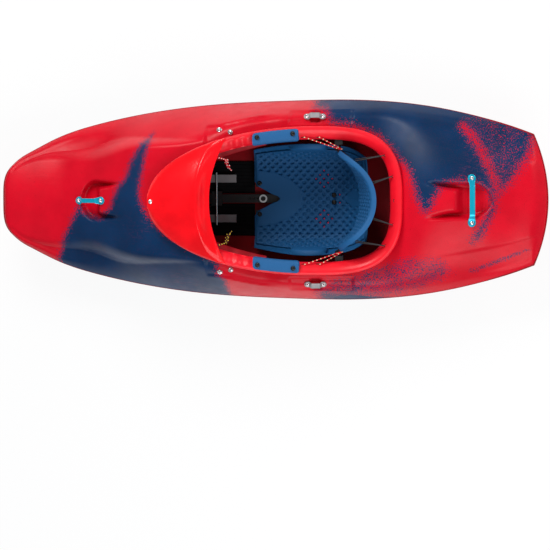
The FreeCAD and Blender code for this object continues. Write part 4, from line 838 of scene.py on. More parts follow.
@dataclass(frozen=True)
class Plaited(Finish):
    """A plaited cord of two colours. Reads the piece's UV map: along in metres, round from 0 to 1."""

    fleck: Colour = (0.9, 0.9, 0.85)
    pitch_mm: float = 4.0
    strands: float = 2.0

    def weave(self, graph: Graph) -> bpy.types.Node:
        """The braid group on the piece's UV map."""
        made = graph.node("ShaderNodeGroup", node_tree=braid_group())
        graph.feed(made.inputs["Place"], graph.node("ShaderNodeUVMap", uv_map="along").outputs[0])
        made.inputs["Pitch"].default_value = self.pitch_mm * MM
        made.inputs["Strands"].default_value = self.strands
        return made

    def base(self, graph: Graph, place: object) -> object:
        """The flecks over the cord's own colour."""
        return graph.mixed(self.weave(graph).outputs["Fleck"], self.colour, self.fleck)

    def lift(self, graph: Graph, place: object, normal: object) -> object:
        """The strands stand up a quarter of a millimetre."""
        return graph.raised(self.weave(graph).outputs["Height"], 1.0, 0.00025, normal)


@dataclass(frozen=True)
class Pored(Finish):
    """Closed-cell foam with fine pores, and a near-black painted shade where a mesh attribute marks pits, grooves and
    rounded edges.
    """

    # Colour of the painted shade in pits, grooves and at rounded edges.
    deep: Colour = (0.001, 0.012, 0.03)

    def base(self, graph: Graph, place: object) -> object:
        """The foam's colour, with painted shade down its pits and grooves and at its edges."""
        own = super().base(graph, place)
        pores = graph.between(graph.noise(place, 1.1, 1.0), 0.6, 0.75, 0.0, 0.25)
        own = graph.mixed(pores, own, tuple(0.5 * c for c in self.colour))
        return graph.mixed(graph.attribute("pit"), own, self.deep)


@dataclass(frozen=True)
class Turned(Finish):
    """Machined metal with fine tool marks along X."""

    def lift(self, graph: Graph, place: object, normal: object) -> object:
        """Shallow parallel lines over the grain."""
        turned = graph.node("ShaderNodeMapping", {"Vector": place, "Scale": (200.0, 2600.0, 2600.0)})
        return graph.raised(graph.texture(turned.outputs[0], 1.0, 1.0), 0.6, 0.00004, normal)


RED: Colour = (0.66, 0.002, 0.016)
SHELL = Marbled("shell_marbled", RED, roughness=0.34, grain_mm=1.6, depth_mm=0.05, specular=0.15)
RIM_RED = Finish("rim_red", (0.84, 0.005, 0.018), roughness=0.36, grain_mm=1.8, depth_mm=0.05, scuffs=0.15,
                 specular=0.3)
# The shell's red darkened to under half as painted shade, for the inside of the shell, the seam bead and the thigh
# hooks.
SHADED_INNER_RED = Finish("inner_red", (0.30, 0.001, 0.006), roughness=0.5, scuffs=0.2, specular=0.2)
CAP_RED = Finish("cap_gloss", (0.93, 0.001, 0.007), roughness=0.22, grain_mm=6.0, depth_mm=0.03, coat=0.12,
                 scuffs=0.1, specular=0.2)
# The blue foam; its last colour is the painted shade in its pits and at its edges.
PAD_BLUE = Pored("pad_blue", (0.0, 0.030, 0.088), roughness=0.75, grain_mm=0.9, depth_mm=0.06, scuffs=0.0,
                 specular=0.0, deep=(0.0, 0.0, 0.001))
BAND_BACK = Finish("band_black", (0.010, 0.010, 0.012), roughness=0.5, grain_mm=1.2, depth_mm=0.08)
BLACK = Finish("black_plastic", (0.004, 0.004, 0.005), roughness=0.45, grain_mm=1.2, depth_mm=0.05, scuffs=0.3)
# The black foam; its last colour is the painted shade in its grooves.
FOAM = Pored("black_foam", (0.005, 0.005, 0.006), roughness=0.88, grain_mm=1.4, depth_mm=0.15, scuffs=0.0,
             deep=(0.001, 0.001, 0.002), specular=0.1)
GREY = Turned("grey_anodised", (0.30, 0.29, 0.30), roughness=0.42, metallic=0.3)
TEAL = Turned("teal_anodised", (0.0, 0.42, 0.60), roughness=0.26, metallic=0.4, grain_mm=0.6, depth_mm=0.02)
STEEL = Turned("steel_bright", (0.72, 0.72, 0.73), roughness=0.24, metallic=1.0, grain_mm=0.8, depth_mm=0.02)
DARK_STEEL = Turned("steel_black", (0.02, 0.02, 0.022), roughness=0.35, metallic=0.7, grain_mm=0.8,
                    depth_mm=0.03)
TENSION = Plaited("cord_red_fleck", (0.55, 0.008, 0.012), roughness=0.75, fleck=(0.85, 0.68, 0.45), scuffs=0.0,
                  pitch_mm=14.0, strands=1.0, specular=0.2)
TIE_RED = Plaited("cord_tie_red", (0.60, 0.004, 0.014), roughness=0.75, fleck=(0.85, 0.83, 0.78), scuffs=0.0,
                  pitch_mm=9.0, strands=1.0, specular=0.2)
TIE_YELLOW = Plaited("cord_tie_yellow", (0.05, 0.012, 0.012), roughness=0.75, fleck=(0.85, 0.60, 0.05), scuffs=0.0,
                     pitch_mm=9.0, strands=1.0, specular=0.2)
BUNGEE = Plaited("cord_black", (0.010, 0.010, 0.012), roughness=0.6, fleck=(0.04, 0.04, 0.045), scuffs=0.0)


def dress(piece: bpy.types.Object, finish: Finish, slot: str, body: str = "boat",
          *nodes: str) -> bpy.types.Object:
    """Gives a piece its material and its body, and stands it in for CAD nodes."""
    if not piece.data.materials:
        piece.data.materials.append(finish.make())
    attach(piece, body)
    if nodes:
        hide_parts(*nodes)
    LOG.info("%s: %d faces", piece.name, len(getattr(piece.data, "polygons", [])))
    return piece


def dress_soft(piece: bpy.types.Object, finish: Finish, slot: str, body: str, node: str) -> None:
    """Dresses a padded piece that stands in for a CAD node."""
    dress(piece, finish, slot, body, node)


def dress_node(name: str, finish: Finish) -> None:
    """Gives a CAD node that stays a material of its own."""
    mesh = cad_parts[name].data
    mesh.materials.clear()
    mesh.materials.append(finish.make())


# ---------------------------------------------------------------- shell


@dataclass
class Shell:
    """The moulded hull and deck, with a marbled colour that is laid out in given outlines."""

    cell: float = 5.3
    widest: float = 664.0
    cut_inset: float = 27.5
    bead: float = 1.6
    bow_band: Pairs = (
        (-395, 222), (-425, 192), (-440, 165), (-460, 130), (-470, 100), (-480, 75), (-505, 50), (-520, 15),
        (-535, -25), (-555, -40), (-575, -55), (-610, -48), (-632, -32), (-645, -12), (-652, -25), (-680, -80),
        (-700, -115), (-715, -150), (-735, -200), (-745, -360), (-148, -370), (-152, -300), (-150, -262),
        (-175, -240), (-165, -205), (-240, -160), (-350, -100), (-405, -40), (-420, -10), (-430, 15),
        (-425, 60), (-415, 105), (-410, 140), (-400, 175))
    stern_band: Pairs = (
        (128, 380), (140, 310), (180, 298), (188, 280), (205, 255), (245, 252), (295, 238), (355, 214),
        (395, 175), (425, 135), (455, 110), (470, 75), (485, 15), (505, -30), (515, -40), (535, -20), (545, 10),
        (565, 30), (560, 45), (605, 60), (655, 62), (690, 56), (717, 32), (727, 5), (730, -22), (712, -55),
        (692, -88), (668, -135), (688, -125), (718, -78), (738, -38), (744, -8), (742, 40), (730, 78),
        (710, 120), (685, 170), (655, 210), (625, 245), (665, 262), (755, 262), (860, 205), (900, 215),
        (900, 380))
    stern_haze: Pairs = (
        (600, 270), (655, 205), (710, 115), (740, 40), (742, -20), (765, 20), (812, 62), (845, 118),
        (872, 175), (880, 240), (755, 315), (600, 340))
    port_patch: Pairs = (
        (150, -302), (185, -293), (235, -302), (262, -284), (290, -266), (320, -260), (326, -275),
        (308, -296), (275, -322), (268, -380), (150, -380))
    port_haze: Pairs = (
        (185, -262), (300, -235), (450, -190), (560, -190), (600, -240), (480, -300), (330, -335), (180, -320))
    stern_streak: Pairs = ((640, -232), (755, -188), (845, -156), (862, -166), (770, -204), (660, -246))
    side_bow: Pairs = ((-730, 250), (-762, 170), (-785, 60), (-790, -60), (-95, -60), (-110, 90), (-122, 150),
                       (-128, 260), (-150, 420), (-700, 420))
    side_stern: Pairs = ((110, 125), (150, 118), (250, 128), (410, 122), (560, 128), (600, 90), (560, 30),
                         (100, -40), (90, 60))
    side_seam: Pairs = ((182, 250), (186, 190), (180, 148), (370, 150), (385, 166), (318, 190), (312, 250))
    side_tail: Pairs = ((540, 128), (700, 118), (715, 95), (600, 70), (540, 60))

    def deck_colour(self, x: np.ndarray, y: np.ndarray) -> tuple[np.ndarray, np.ndarray]:
        """How navy the deck is: distance into each outline over the width of its fringe, and the haze."""
        navy = depth_in(self.bow_band, x, y) / 10.0
        navy = np.maximum(navy, depth_in(self.stern_band, x, y) / 14.0)
        navy = np.maximum(navy, (depth_in(self.port_patch, x, y) - 3.0) / 20.0)
        haze = np.clip(0.32 + depth_in(self.stern_haze, x, y) / 70.0, 0.0, 0.85)
        haze = np.maximum(haze, 0.52 * ramp(depth_in(self.port_haze, x, y), -30.0, 25.0))
        haze = np.maximum(haze, 0.55 * ramp(depth_in(self.stern_streak, x, y), -4.0, 8.0))
        return np.clip(navy, -3.0, 3.0), haze

    def hull_colour(self, x: np.ndarray, y: np.ndarray, z: np.ndarray) -> tuple[np.ndarray, np.ndarray]:
        """How navy the hull is: outlines drawn on its side, and the same ones pushed aft to starboard."""
        aft = 260.0 * ramp(y, -120.0, 160.0)
        along = x - aft * ramp(x, -600.0, -200.0)
        level = z + 0.12 * np.abs(y)
        navy = depth_in(self.side_bow, along, z) / 10.0
        navy = np.maximum(navy, depth_in(self.side_stern, x - 0.3 * aft, level - 30.0) / 20.0)
        navy = np.maximum(navy, depth_in(self.side_seam, x, z) / 12.0)
        haze = 0.6 * ramp(depth_in(self.side_tail, x, z), -30.0, 20.0)
        return np.clip(navy, -3.0, 3.0), haze

    def side_deck(self, x: np.ndarray, y: np.ndarray, z: np.ndarray) -> np.ndarray:
        """Where the deck's flank near the seam takes the colour of the side outlines."""
        near = 1.0 - ramp(LINES.half_beam(x) - np.abs(y), 6.0, 26.0)
        side = (depth_in(self.side_seam, x, z) + 2.0) / 10.0
        return np.where((near > 0.0) & (y < 0.0), side * near - 3.0 * (1.0 - near), -3.0)

    def grid(self) -> tuple[np.ndarray, np.ndarray]:
        """Stations and shares about one cell apart, closer together at the seam."""
        length = LINES.stern_corner - LINES.bow_corner
        stations = np.linspace(LINES.bow_corner, LINES.stern_corner, round(length / self.cell))
        turn = np.linspace(-1.0, 1.0, round(self.widest / self.cell))
        shares = turn * (1.12 - 0.12 * turn * turn)
        return LINES.plan(stations, shares)

    def edge_to_seam(self, z: np.ndarray, seam: np.ndarray) -> np.ndarray:
        """Brings the outer rows and columns of a grid to the seam."""
        for line in (np.s_[0, :], np.s_[-1, :], np.s_[:, 0], np.s_[:, -1]):
            z[line] = seam[line]
        return z

    def deck_mesh(self) -> bpy.types.Object:
        """The deck's skin, open where the cockpit rim's wall passes, and thickened inwards."""
        x, y = self.grid()
        outline = [tuple(p) for p in np.stack(RIM.outline(RIM.angles(220), self.cut_inset), axis=-1)]
        x, y, keep = cut_at(outline, x, y)
        z = self.edge_to_seam(LINES.deck(x, y), LINES.seam(x))
        navy, haze = self.deck_colour(x, y)
        navy = np.maximum(navy, self.side_deck(x, y, z))
        work = Patchwork("deck_skin")
        work.grid(np.stack([x, y, z], axis=-1), keep=keep, navy=navy, haze=haze)
        return self.walled(work)

    def hull_mesh(self) -> bpy.types.Object:
        """The hull's skin, thickened inwards."""
        x, y = self.grid()
        z = self.edge_to_seam(LINES.hull(x, y), LINES.seam(x))
        navy, haze = self.hull_colour(x, y, z)
        work = Patchwork("hull_skin")
        work.grid(np.stack([x, y, z], axis=-1), flip=True, navy=navy, haze=haze)
        return self.walled(work)

    def walled(self, work: Patchwork) -> bpy.types.Object:
        """Builds a skin, marbled outside and a plain red darkened as painted shade inside, with the wall's thickness
        between.
        """
        made = work.build()
        for finish in (SHELL, SHADED_INNER_RED):
            made.data.materials.append(finish.make())
        finish_with(made, "SOLIDIFY", thickness=LINES.wall * MM, offset=-1.0, material_offset=1,
                    material_offset_rim=1)
        return made

    def bead_mesh(self) -> bpy.types.Object:
        """The raised parting line: a small round bead swept round the seam."""
        stations = np.linspace(LINES.bow_corner, LINES.stern_corner, 300)
        shares = np.linspace(-1.0, 1.0, 70)
        sides = [LINES.plan(stations, np.array([-1.0])), LINES.plan(stations[-1:], shares),
                 LINES.plan(stations[::-1], np.array([1.0])), LINES.plan(stations[:1], shares[::-1])]
        x = np.concatenate([s[0].ravel() for s in sides])
        y = np.concatenate([s[1].ravel() for s in sides])
        keep = np.hypot(np.diff(x, append=x[0]), np.diff(y, append=y[0])) > 0.5
        path = np.stack([x[keep], y[keep], LINES.seam(x[keep])], axis=-1)
        path[:, 1] -= 0.9 * np.sign(path[:, 1])
        work = Patchwork("seam_bead")
        work.grid(sweep(path, circle(self.bead, 8), closed=True), wrap_u=True, wrap_v=True)
        return work.build()

    def build(self) -> None:
        """Builds the three pieces and dresses them."""
        dress(self.deck_mesh(), SHELL, "shell", "boat", "deck")
        dress(self.hull_mesh(), SHELL, "shell", "boat", "hull")
        # The bead takes the darkened inner red, painted shade along the seam.
        dress(self.bead_mesh(), SHADED_INNER_RED, "shell")


# ---------------------------------------------------------------- cockpit rim


@dataclass
class Coaming:
    """The cockpit rim: a rounded ridge that slopes inwards like a funnel, on an upright wall."""

    steps: int = 420
    width: float = 43.0
    edge: float = 15.0
    wall: float = 5.0
    wall_inset: float = 25.0

    def section(self) -> list[tuple[float, float | None]]:
        """The section as (inset, drop below the crown), outer edge first. No drop means down at the deck."""
        top = spline([(0.0, 6.5), (2.2, 2.4), (5.5, 0.6), (10.0, 0.0), (16.0, 1.4), (22.4, 4.4), (34.4, 13.8),
                      (40.0, 19.8), (43.0, 25.0)])
        across = np.concatenate([[0.0, 0.9], np.linspace(2.2, 43.0, 30)])
        outer = [(0.6, self.edge), (0.0, self.edge - 1.0), (0.0, 10.0)]
        slope = [(float(a), float(d)) for a, d in zip(across, top(across))]
        inner = [(43.6, 27.0), (42.6, 29.4), (self.width - 4.0, 28.0),
                 (self.wall_inset + self.wall + 1.0, 20.0)]
        down = [(self.wall_inset + self.wall, None), (self.wall_inset, None)]
        back = [(self.wall_inset, self.edge + 2.5), (self.wall_inset - 2.0, self.edge + 1.0), (4.0, self.edge),
                (2.0, self.edge + 0.4)]
        return outer + slope + inner + down + back

    def facets(self, x: np.ndarray, inset: float) -> np.ndarray:
        """Extra height on the slope between the cap and the braces, folded up and down along the rim."""
        share = ramp(np.array(inset), 7.0, 20.0) * (1.0 - ramp(np.array(inset), 40.0, 43.0))
        here = ramp(x, -142.0, -128.0) * (1.0 - ramp(x, -66.0, -52.0))
        folds = 9.0 * np.abs(np.mod((x + 136.0) / 36.0, 1.0) * 2.0 - 1.0) - 6.0
        return share * here * folds

    def mesh(self) -> bpy.types.Object:
        """The whole rim as one closed ring."""
        angles = RIM.angles(self.steps)
        outer_x, _ = RIM.outline(angles)
        top = LINES.rim_line(outer_x)
        loops = []
        for inset, drop in self.section():
            x, y = RIM.outline(angles, inset)
            if drop is None:
                z = np.minimum(LINES.deck(x, y), top - 20.0) - 5.0
            else:
                z = top - drop + self.facets(x, inset)
            loops.append(np.stack([x, y, z], axis=-1))
        work = Patchwork("cockpit_rim")
        work.grid(np.stack(loops, axis=1), wrap_u=True, wrap_v=True)
        return work.build()

    def eyelet(self, work: Patchwork, x: float, y: float, z: float, tilt: Sequence[float], length: float,
               grow: float = 1.0) -> None:
        """A black cup with a rounded edge in a cord hole, painted shade for the hole's dark inside, drawn out along X
        by length.
        """
        profile = [(0.01, -3.0), (1.8, -2.9), (2.4, -1.6), (2.7, 0.1), (3.3, 0.5), (3.9, 0.2), (4.0, -0.4)]
        cup = revolve(profile, 20) * [grow, grow, 1.0]
        cup[..., 0] += np.sign(np.round(cup[..., 0], 3)) * length
        work.grid(placed(cup, (x, y, z), tilt), wrap_v=True)

    def holes(self) -> bpy.types.Object:
        """The black cups of painted shade in the holes at the tension cords, the bungees and the spare hole at the
        stern.
        """
        work = Patchwork("rim_holes")
        for side in Side:
            s = side.value
            for x in TENSION_STATIONS:
                y = s * float(RIM.width(x, TENSION_INSET))
                self.eyelet(work, x, y, rim_height(x) - 14.4, (0.15, s * 0.62, 0.8), 2.2)
        for turn in (*BUNGEE_TURNS, 0.0, *(-turn for turn in reversed(BUNGEE_TURNS))):
            angle = turn * 2.0 * math.pi
            x, y = rim_place(angle, BUNGEE_INSET)
            outer_x, outer_y = rim_place(angle)
            z = rim_height(outer_x) - 7.8
            self.eyelet(work, x, y, z, (x - outer_x, y - outer_y, 50.0), 0.0, 1.3)
        return work.build()

    def build(self) -> None:
        """Builds and dresses the rim."""
        dress(self.mesh(), RIM_RED, "rim", "boat", "coaming")
        # The cups are black as painted shade inside the holes.
        dress(self.holes(), BLACK, "black")


@dataclass
class Cap:
    """The raised cap over the front of the cockpit, with a rolled rear lip."""

    rear: float = -187.0
    tip_reach: float = 52.0
    peak: float = 60.0
    wall: float = 4.0
    bed: float = 1.0
    rows: int = 110
    columns: int = 121

    def sheet(self, lift: float) -> np.ndarray:
        """One face of the cap.

        A ridge rises from the nose as reach^0.62 and falls to the sides as 1 - share^2.6. The last seventh
        turns down into a hollow lip, and the edge is beaded.
        """
        along, share = spread(0.0, 1.0, self.rows, -1.0, 1.0, self.columns)
        nose = RIM.middle - RIM.front + 4.0
        tip = self.rear + self.tip_reach * np.abs(share) ** 2.2
        x = nose + (tip - nose) * along**1.6
        y = share * RIM.width(np.maximum(x, nose + 0.5), 3.0)
        reach = np.clip((x - nose + 4.0) / (self.rear - nose + 4.0), 0.0, 1.0)
        ridge = (5.0 + self.peak * reach**0.62) * (1.0 - np.abs(share) ** 2.6) + self.wall
        roll = 46.0 * ramp(along, 0.86, 1.0) * (1.0 - np.abs(share) ** 3)
        height = np.maximum(ridge - roll, self.wall)
        height += 1.4 * bump(along, 0.872, 0.016) * (1.0 - np.abs(share) ** 6)
        height += 1.2 * bump(along, 0.99, 0.018) * (1.0 - np.abs(share) ** 6)
        z = LINES.rim_line(x) + height - self.bed - lift
        return np.stack([x, y, z], axis=-1)

    def build(self) -> None:
        """Builds the cap as a plate, rounds its edge and dresses it."""
        work = Patchwork("front_cap")
        work.slab(self.sheet(0.0), self.sheet(self.wall))
        made = work.build()
        round_off(made, 1.2, 50.0, 2)
        dress(made, CAP_RED, "cap", "boat", "riser_cap")


# ---------------------------------------------------------------- handles and bars


def deck_point(x: float, y: float, lift: float = 0.3) -> np.ndarray:
    """A point just above the deck."""
    return np.array([x, y, float(LINES.deck(np.array(x), np.array(y))) + lift])


@dataclass
class Handle:
    """An arched dog-bone bar between two feet on the deck."""

    name: str
    node: str
    length: float
    pitch: float
    end: float
    waist: float
    arch: float
    finish: Finish
    slot: str
    thick: float = 5.0

    def mesh(self, first: np.ndarray, second: np.ndarray, up: np.ndarray) -> bpy.types.Object:
        """Sweeps a rounded flat section along the bar.

        Half the width follows a circle at each end and a waist between; the height is a smooth arch that
        starts at the feet.
        """
        half = self.length / 2.0
        t = np.linspace(-1.0, 1.0, 97)
        x = half * np.sin(0.5 * math.pi * t)
        radius = self.end / 2.0
        into = np.clip((half - np.abs(x)) / radius, 0.0, 1.0)
        ends = radius * np.sqrt(np.clip(1.0 - (1.0 - into) ** 2, 0.0, 1.0))
        swell = ramp(np.abs(x), half - 2.6 * radius, half - radius)
        neck = self.waist / 2.0 + (radius - self.waist / 2.0) * swell
        width = np.minimum(ends, neck)
        foot = (self.length - self.pitch) / 2.0 + 6.0
        lift = self.arch * (1.0 - ramp(np.abs(x), half - foot - 0.34 * (half - foot), half - foot))
        turn = np.linspace(0.0, 2.0 * math.pi, 28, endpoint=False)
        c, s = np.cos(turn), np.sin(turn)
        across = np.sign(c) * np.abs(c) ** 0.45
        over = np.sign(s) * np.abs(s) ** 0.6
        slim = np.minimum(1.0, width / 2.2)[:, None]
        dish = 0.5 * ramp(np.abs(x), half - 2.2 * radius, half - 1.7 * radius)[:, None]
        y = width[:, None] * across
        z = lift[:, None] + self.thick * (0.5 + 0.5 * over * slim)
        z = z - (1.0 - dish) * 0.5 * (1.0 - (np.abs(across) ** 4)) * (over > 0.5)
        bar = np.stack([np.repeat(x[:, None], len(turn), 1), y, z], axis=-1)
        along = (second - first) / np.linalg.norm(second - first)
        up = up - along * up.dot(along)
        work = Patchwork(self.name)
        work.grid(placed(bar, (first + second) / 2.0, up, along), wrap_v=True)
        for end in (-1.0, 1.0):
            ring = revolve([(6.4, 4.6), (7.0, 5.25), (8.2, 5.3), (8.9, 4.7)], 28)
            ring[..., 0] += end * self.pitch / 2.0
            work.grid(placed(ring, (first + second) / 2.0, up, along), wrap_v=True)
        return work.build()

    def build(self, first: np.ndarray, second: np.ndarray, up: np.ndarray) -> None:
        """Builds and dresses the bar between two deck points."""
        dress(self.mesh(first, second, up), self.finish, self.slot, "boat", self.node)


@dataclass
class GrabPoints:
    """The two grab handles and the two lifting bars."""

    bow_x: float = -604.0
    stern_x: float = 667.0
    bar_x: float = 147.0
    bar_y: float = 276.0

    def build(self) -> None:
        """Places each bar on its own two feet."""
        reach = 86.0 / 2.0 * 0.94
        bow = Handle("bow_grab", "bow_handle", 110.0, 86.0, 26.0, 15.0, 12.0, TEAL, "handle")
        bow.build(deck_point(self.bow_x - reach, 0.0), deck_point(self.bow_x + reach, 0.0),
                  np.array([0.0, 0.0, 1.0]))
        stern = Handle("stern_grab", "stern_handle", 174.0, 148.0, 27.0, 18.5, 12.0, TEAL, "handle")
        stern.build(deck_point(self.stern_x, -74.0), deck_point(self.stern_x, 74.0),
                    LINES.normal(self.stern_x, 74.0))
        for side in Side:
            y = side.value * self.bar_y
            bar = Handle(f"lift_bar_{side.word}_cast", f"lift_bar_{side.word}", 73.0, 53.0, 21.5, 19.5, 9.0, GREY,
                         "grey")
            bar.build(deck_point(self.bar_x - 26.5, y), deck_point(self.bar_x + 26.5, y),
                      LINES.normal(self.bar_x, y))


# ---------------------------------------------------------------- thigh hooks and braces


@dataclass
class Thigh:
    """A thigh hook under the rim and a padded brace on it, for each side."""

    hook_front: float = -185.0
    hook_length: float = 172.0
    hook_outer: float = 248.0
    hook_drop: float = 26.0
    brace_x: float = 27.0
    brace_length: float = 148.0
    clearance: float = 4.2
    top: Pairs = ((7.0, 6.0), (10.0, 11.0), (26.0, 13.0), (44.0, 9.0), (49.0, -2.0), (47.0, -21.0))
    under: Pairs = ((7.0, 0.0), (10.0, 0.0), (22.0, -4.0), (34.0, -13.0), (40.0, -20.0), (43.0, -23.5))

    def hook(self, side: Side) -> bpy.types.Object:
        """The hook: a sheet that leaves the underside of the deck and curls down past the rim's wall."""
        along, share = spread(0.0, 1.0, 60, 0.0, 1.0, 44)
        x = self.hook_front + self.hook_length * along
        inner = RIM.width(x, 43.0) - 20.0 + 11.0 * along
        y = self.hook_outer + (inner - self.hook_outer) * share
        roof = LINES.deck(x, np.minimum(y, self.hook_outer)) - 5.0 - 3.4
        wall_y = RIM.width(x, 25.0)
        foot = np.minimum(LINES.deck(x, wall_y), LINES.rim_line(x) - 20.0) - 6.0
        near = 1.0 - ramp(y - wall_y, 1.0, 14.0)
        top = roof + (np.minimum(roof, foot) - roof) * near
        past = np.maximum(wall_y - 5.0 - y, 0.0)
        wave = 3.0 * np.sin(3.0 * math.pi * along) ** 2 * ramp(past, 0.0, 14.0)
        z = top - self.hook_drop * (past / 38.0) ** 1.5 + wave
        sheet = np.stack([x, side.value * y, z], axis=-1)
        work = Patchwork(f"thigh_hook_{side.word}_shell")
        work.slab(sheet, sheet - [0.0, 0.0, 5.0])
        made = work.build()
        round_off(made, 1.6, 50.0, 3)
        return made

    def brace(self, side: Side) -> bpy.types.Object:
        """The brace: a crowned pad along the slope of the rim with rounded ends and a raised border."""
        along, share = spread(-1.0, 1.0, 120, 0.0, 1.0, 48)
        x = self.brace_x + self.brace_length / 2.0 * along
        rounding = np.clip((1.0 - np.abs(along)) * self.brace_length / 2.0 / 9.0, 0.0, 1.0)
        pull = 9.0 * (1.0 - np.sqrt(1.0 - (1.0 - rounding) ** 2))

        def face(profile: Pairs) -> np.ndarray:
            """One face from its profile of (inset, height), drawn in at the ends."""
            run = np.array(profile)
            place = np.linspace(0.0, 1.0, len(run))
            inset = spline(list(zip(place, run[:, 0])))(share)
            height = spline(list(zip(place, run[:, 1])))(share)
            inset = inset + pull * (1.0 - 2.0 * share) * 0.9
            z = LINES.rim_line(x) + height + self.clearance
            return np.stack([x, side.value * RIM.width(x, inset), z], axis=-1)

        upper = face(self.top)
        border = np.minimum(np.minimum(share * 42.0, (1.0 - share) * 52.0), (1.0 - np.abs(along)) * 74.0)
        field_mask = ramp(border, 4.0, 6.0)
        upper[..., 2] -= 1.2 * field_mask
        rows = np.sin(x * 2.0 * math.pi / 7.0) * np.sin(share * 42.0 * 2.0 * math.pi / 7.0)
        upper[..., 2] += 0.35 * rows * field_mask
        work = Patchwork(f"brace_{side.word}_pad")
        work.slab(upper, face(self.under))
        made = work.build()
        round_off(made, 1.4, 50.0, 3)
        return made

    def build(self) -> None:
        """Builds both sides and dresses them."""
        for side in Side:
            # The hooks take the darkened inner red, painted shade under the rim.
            dress(self.hook(side), SHADED_INNER_RED, "rim", "boat", f"thigh_hook_{side.word}")
            dress(self.brace(side), PAD_BLUE, "pad_blue", f"brace_{side.word}", f"thigh_brace_{side.word}")


# ---------------------------------------------------------------- seat


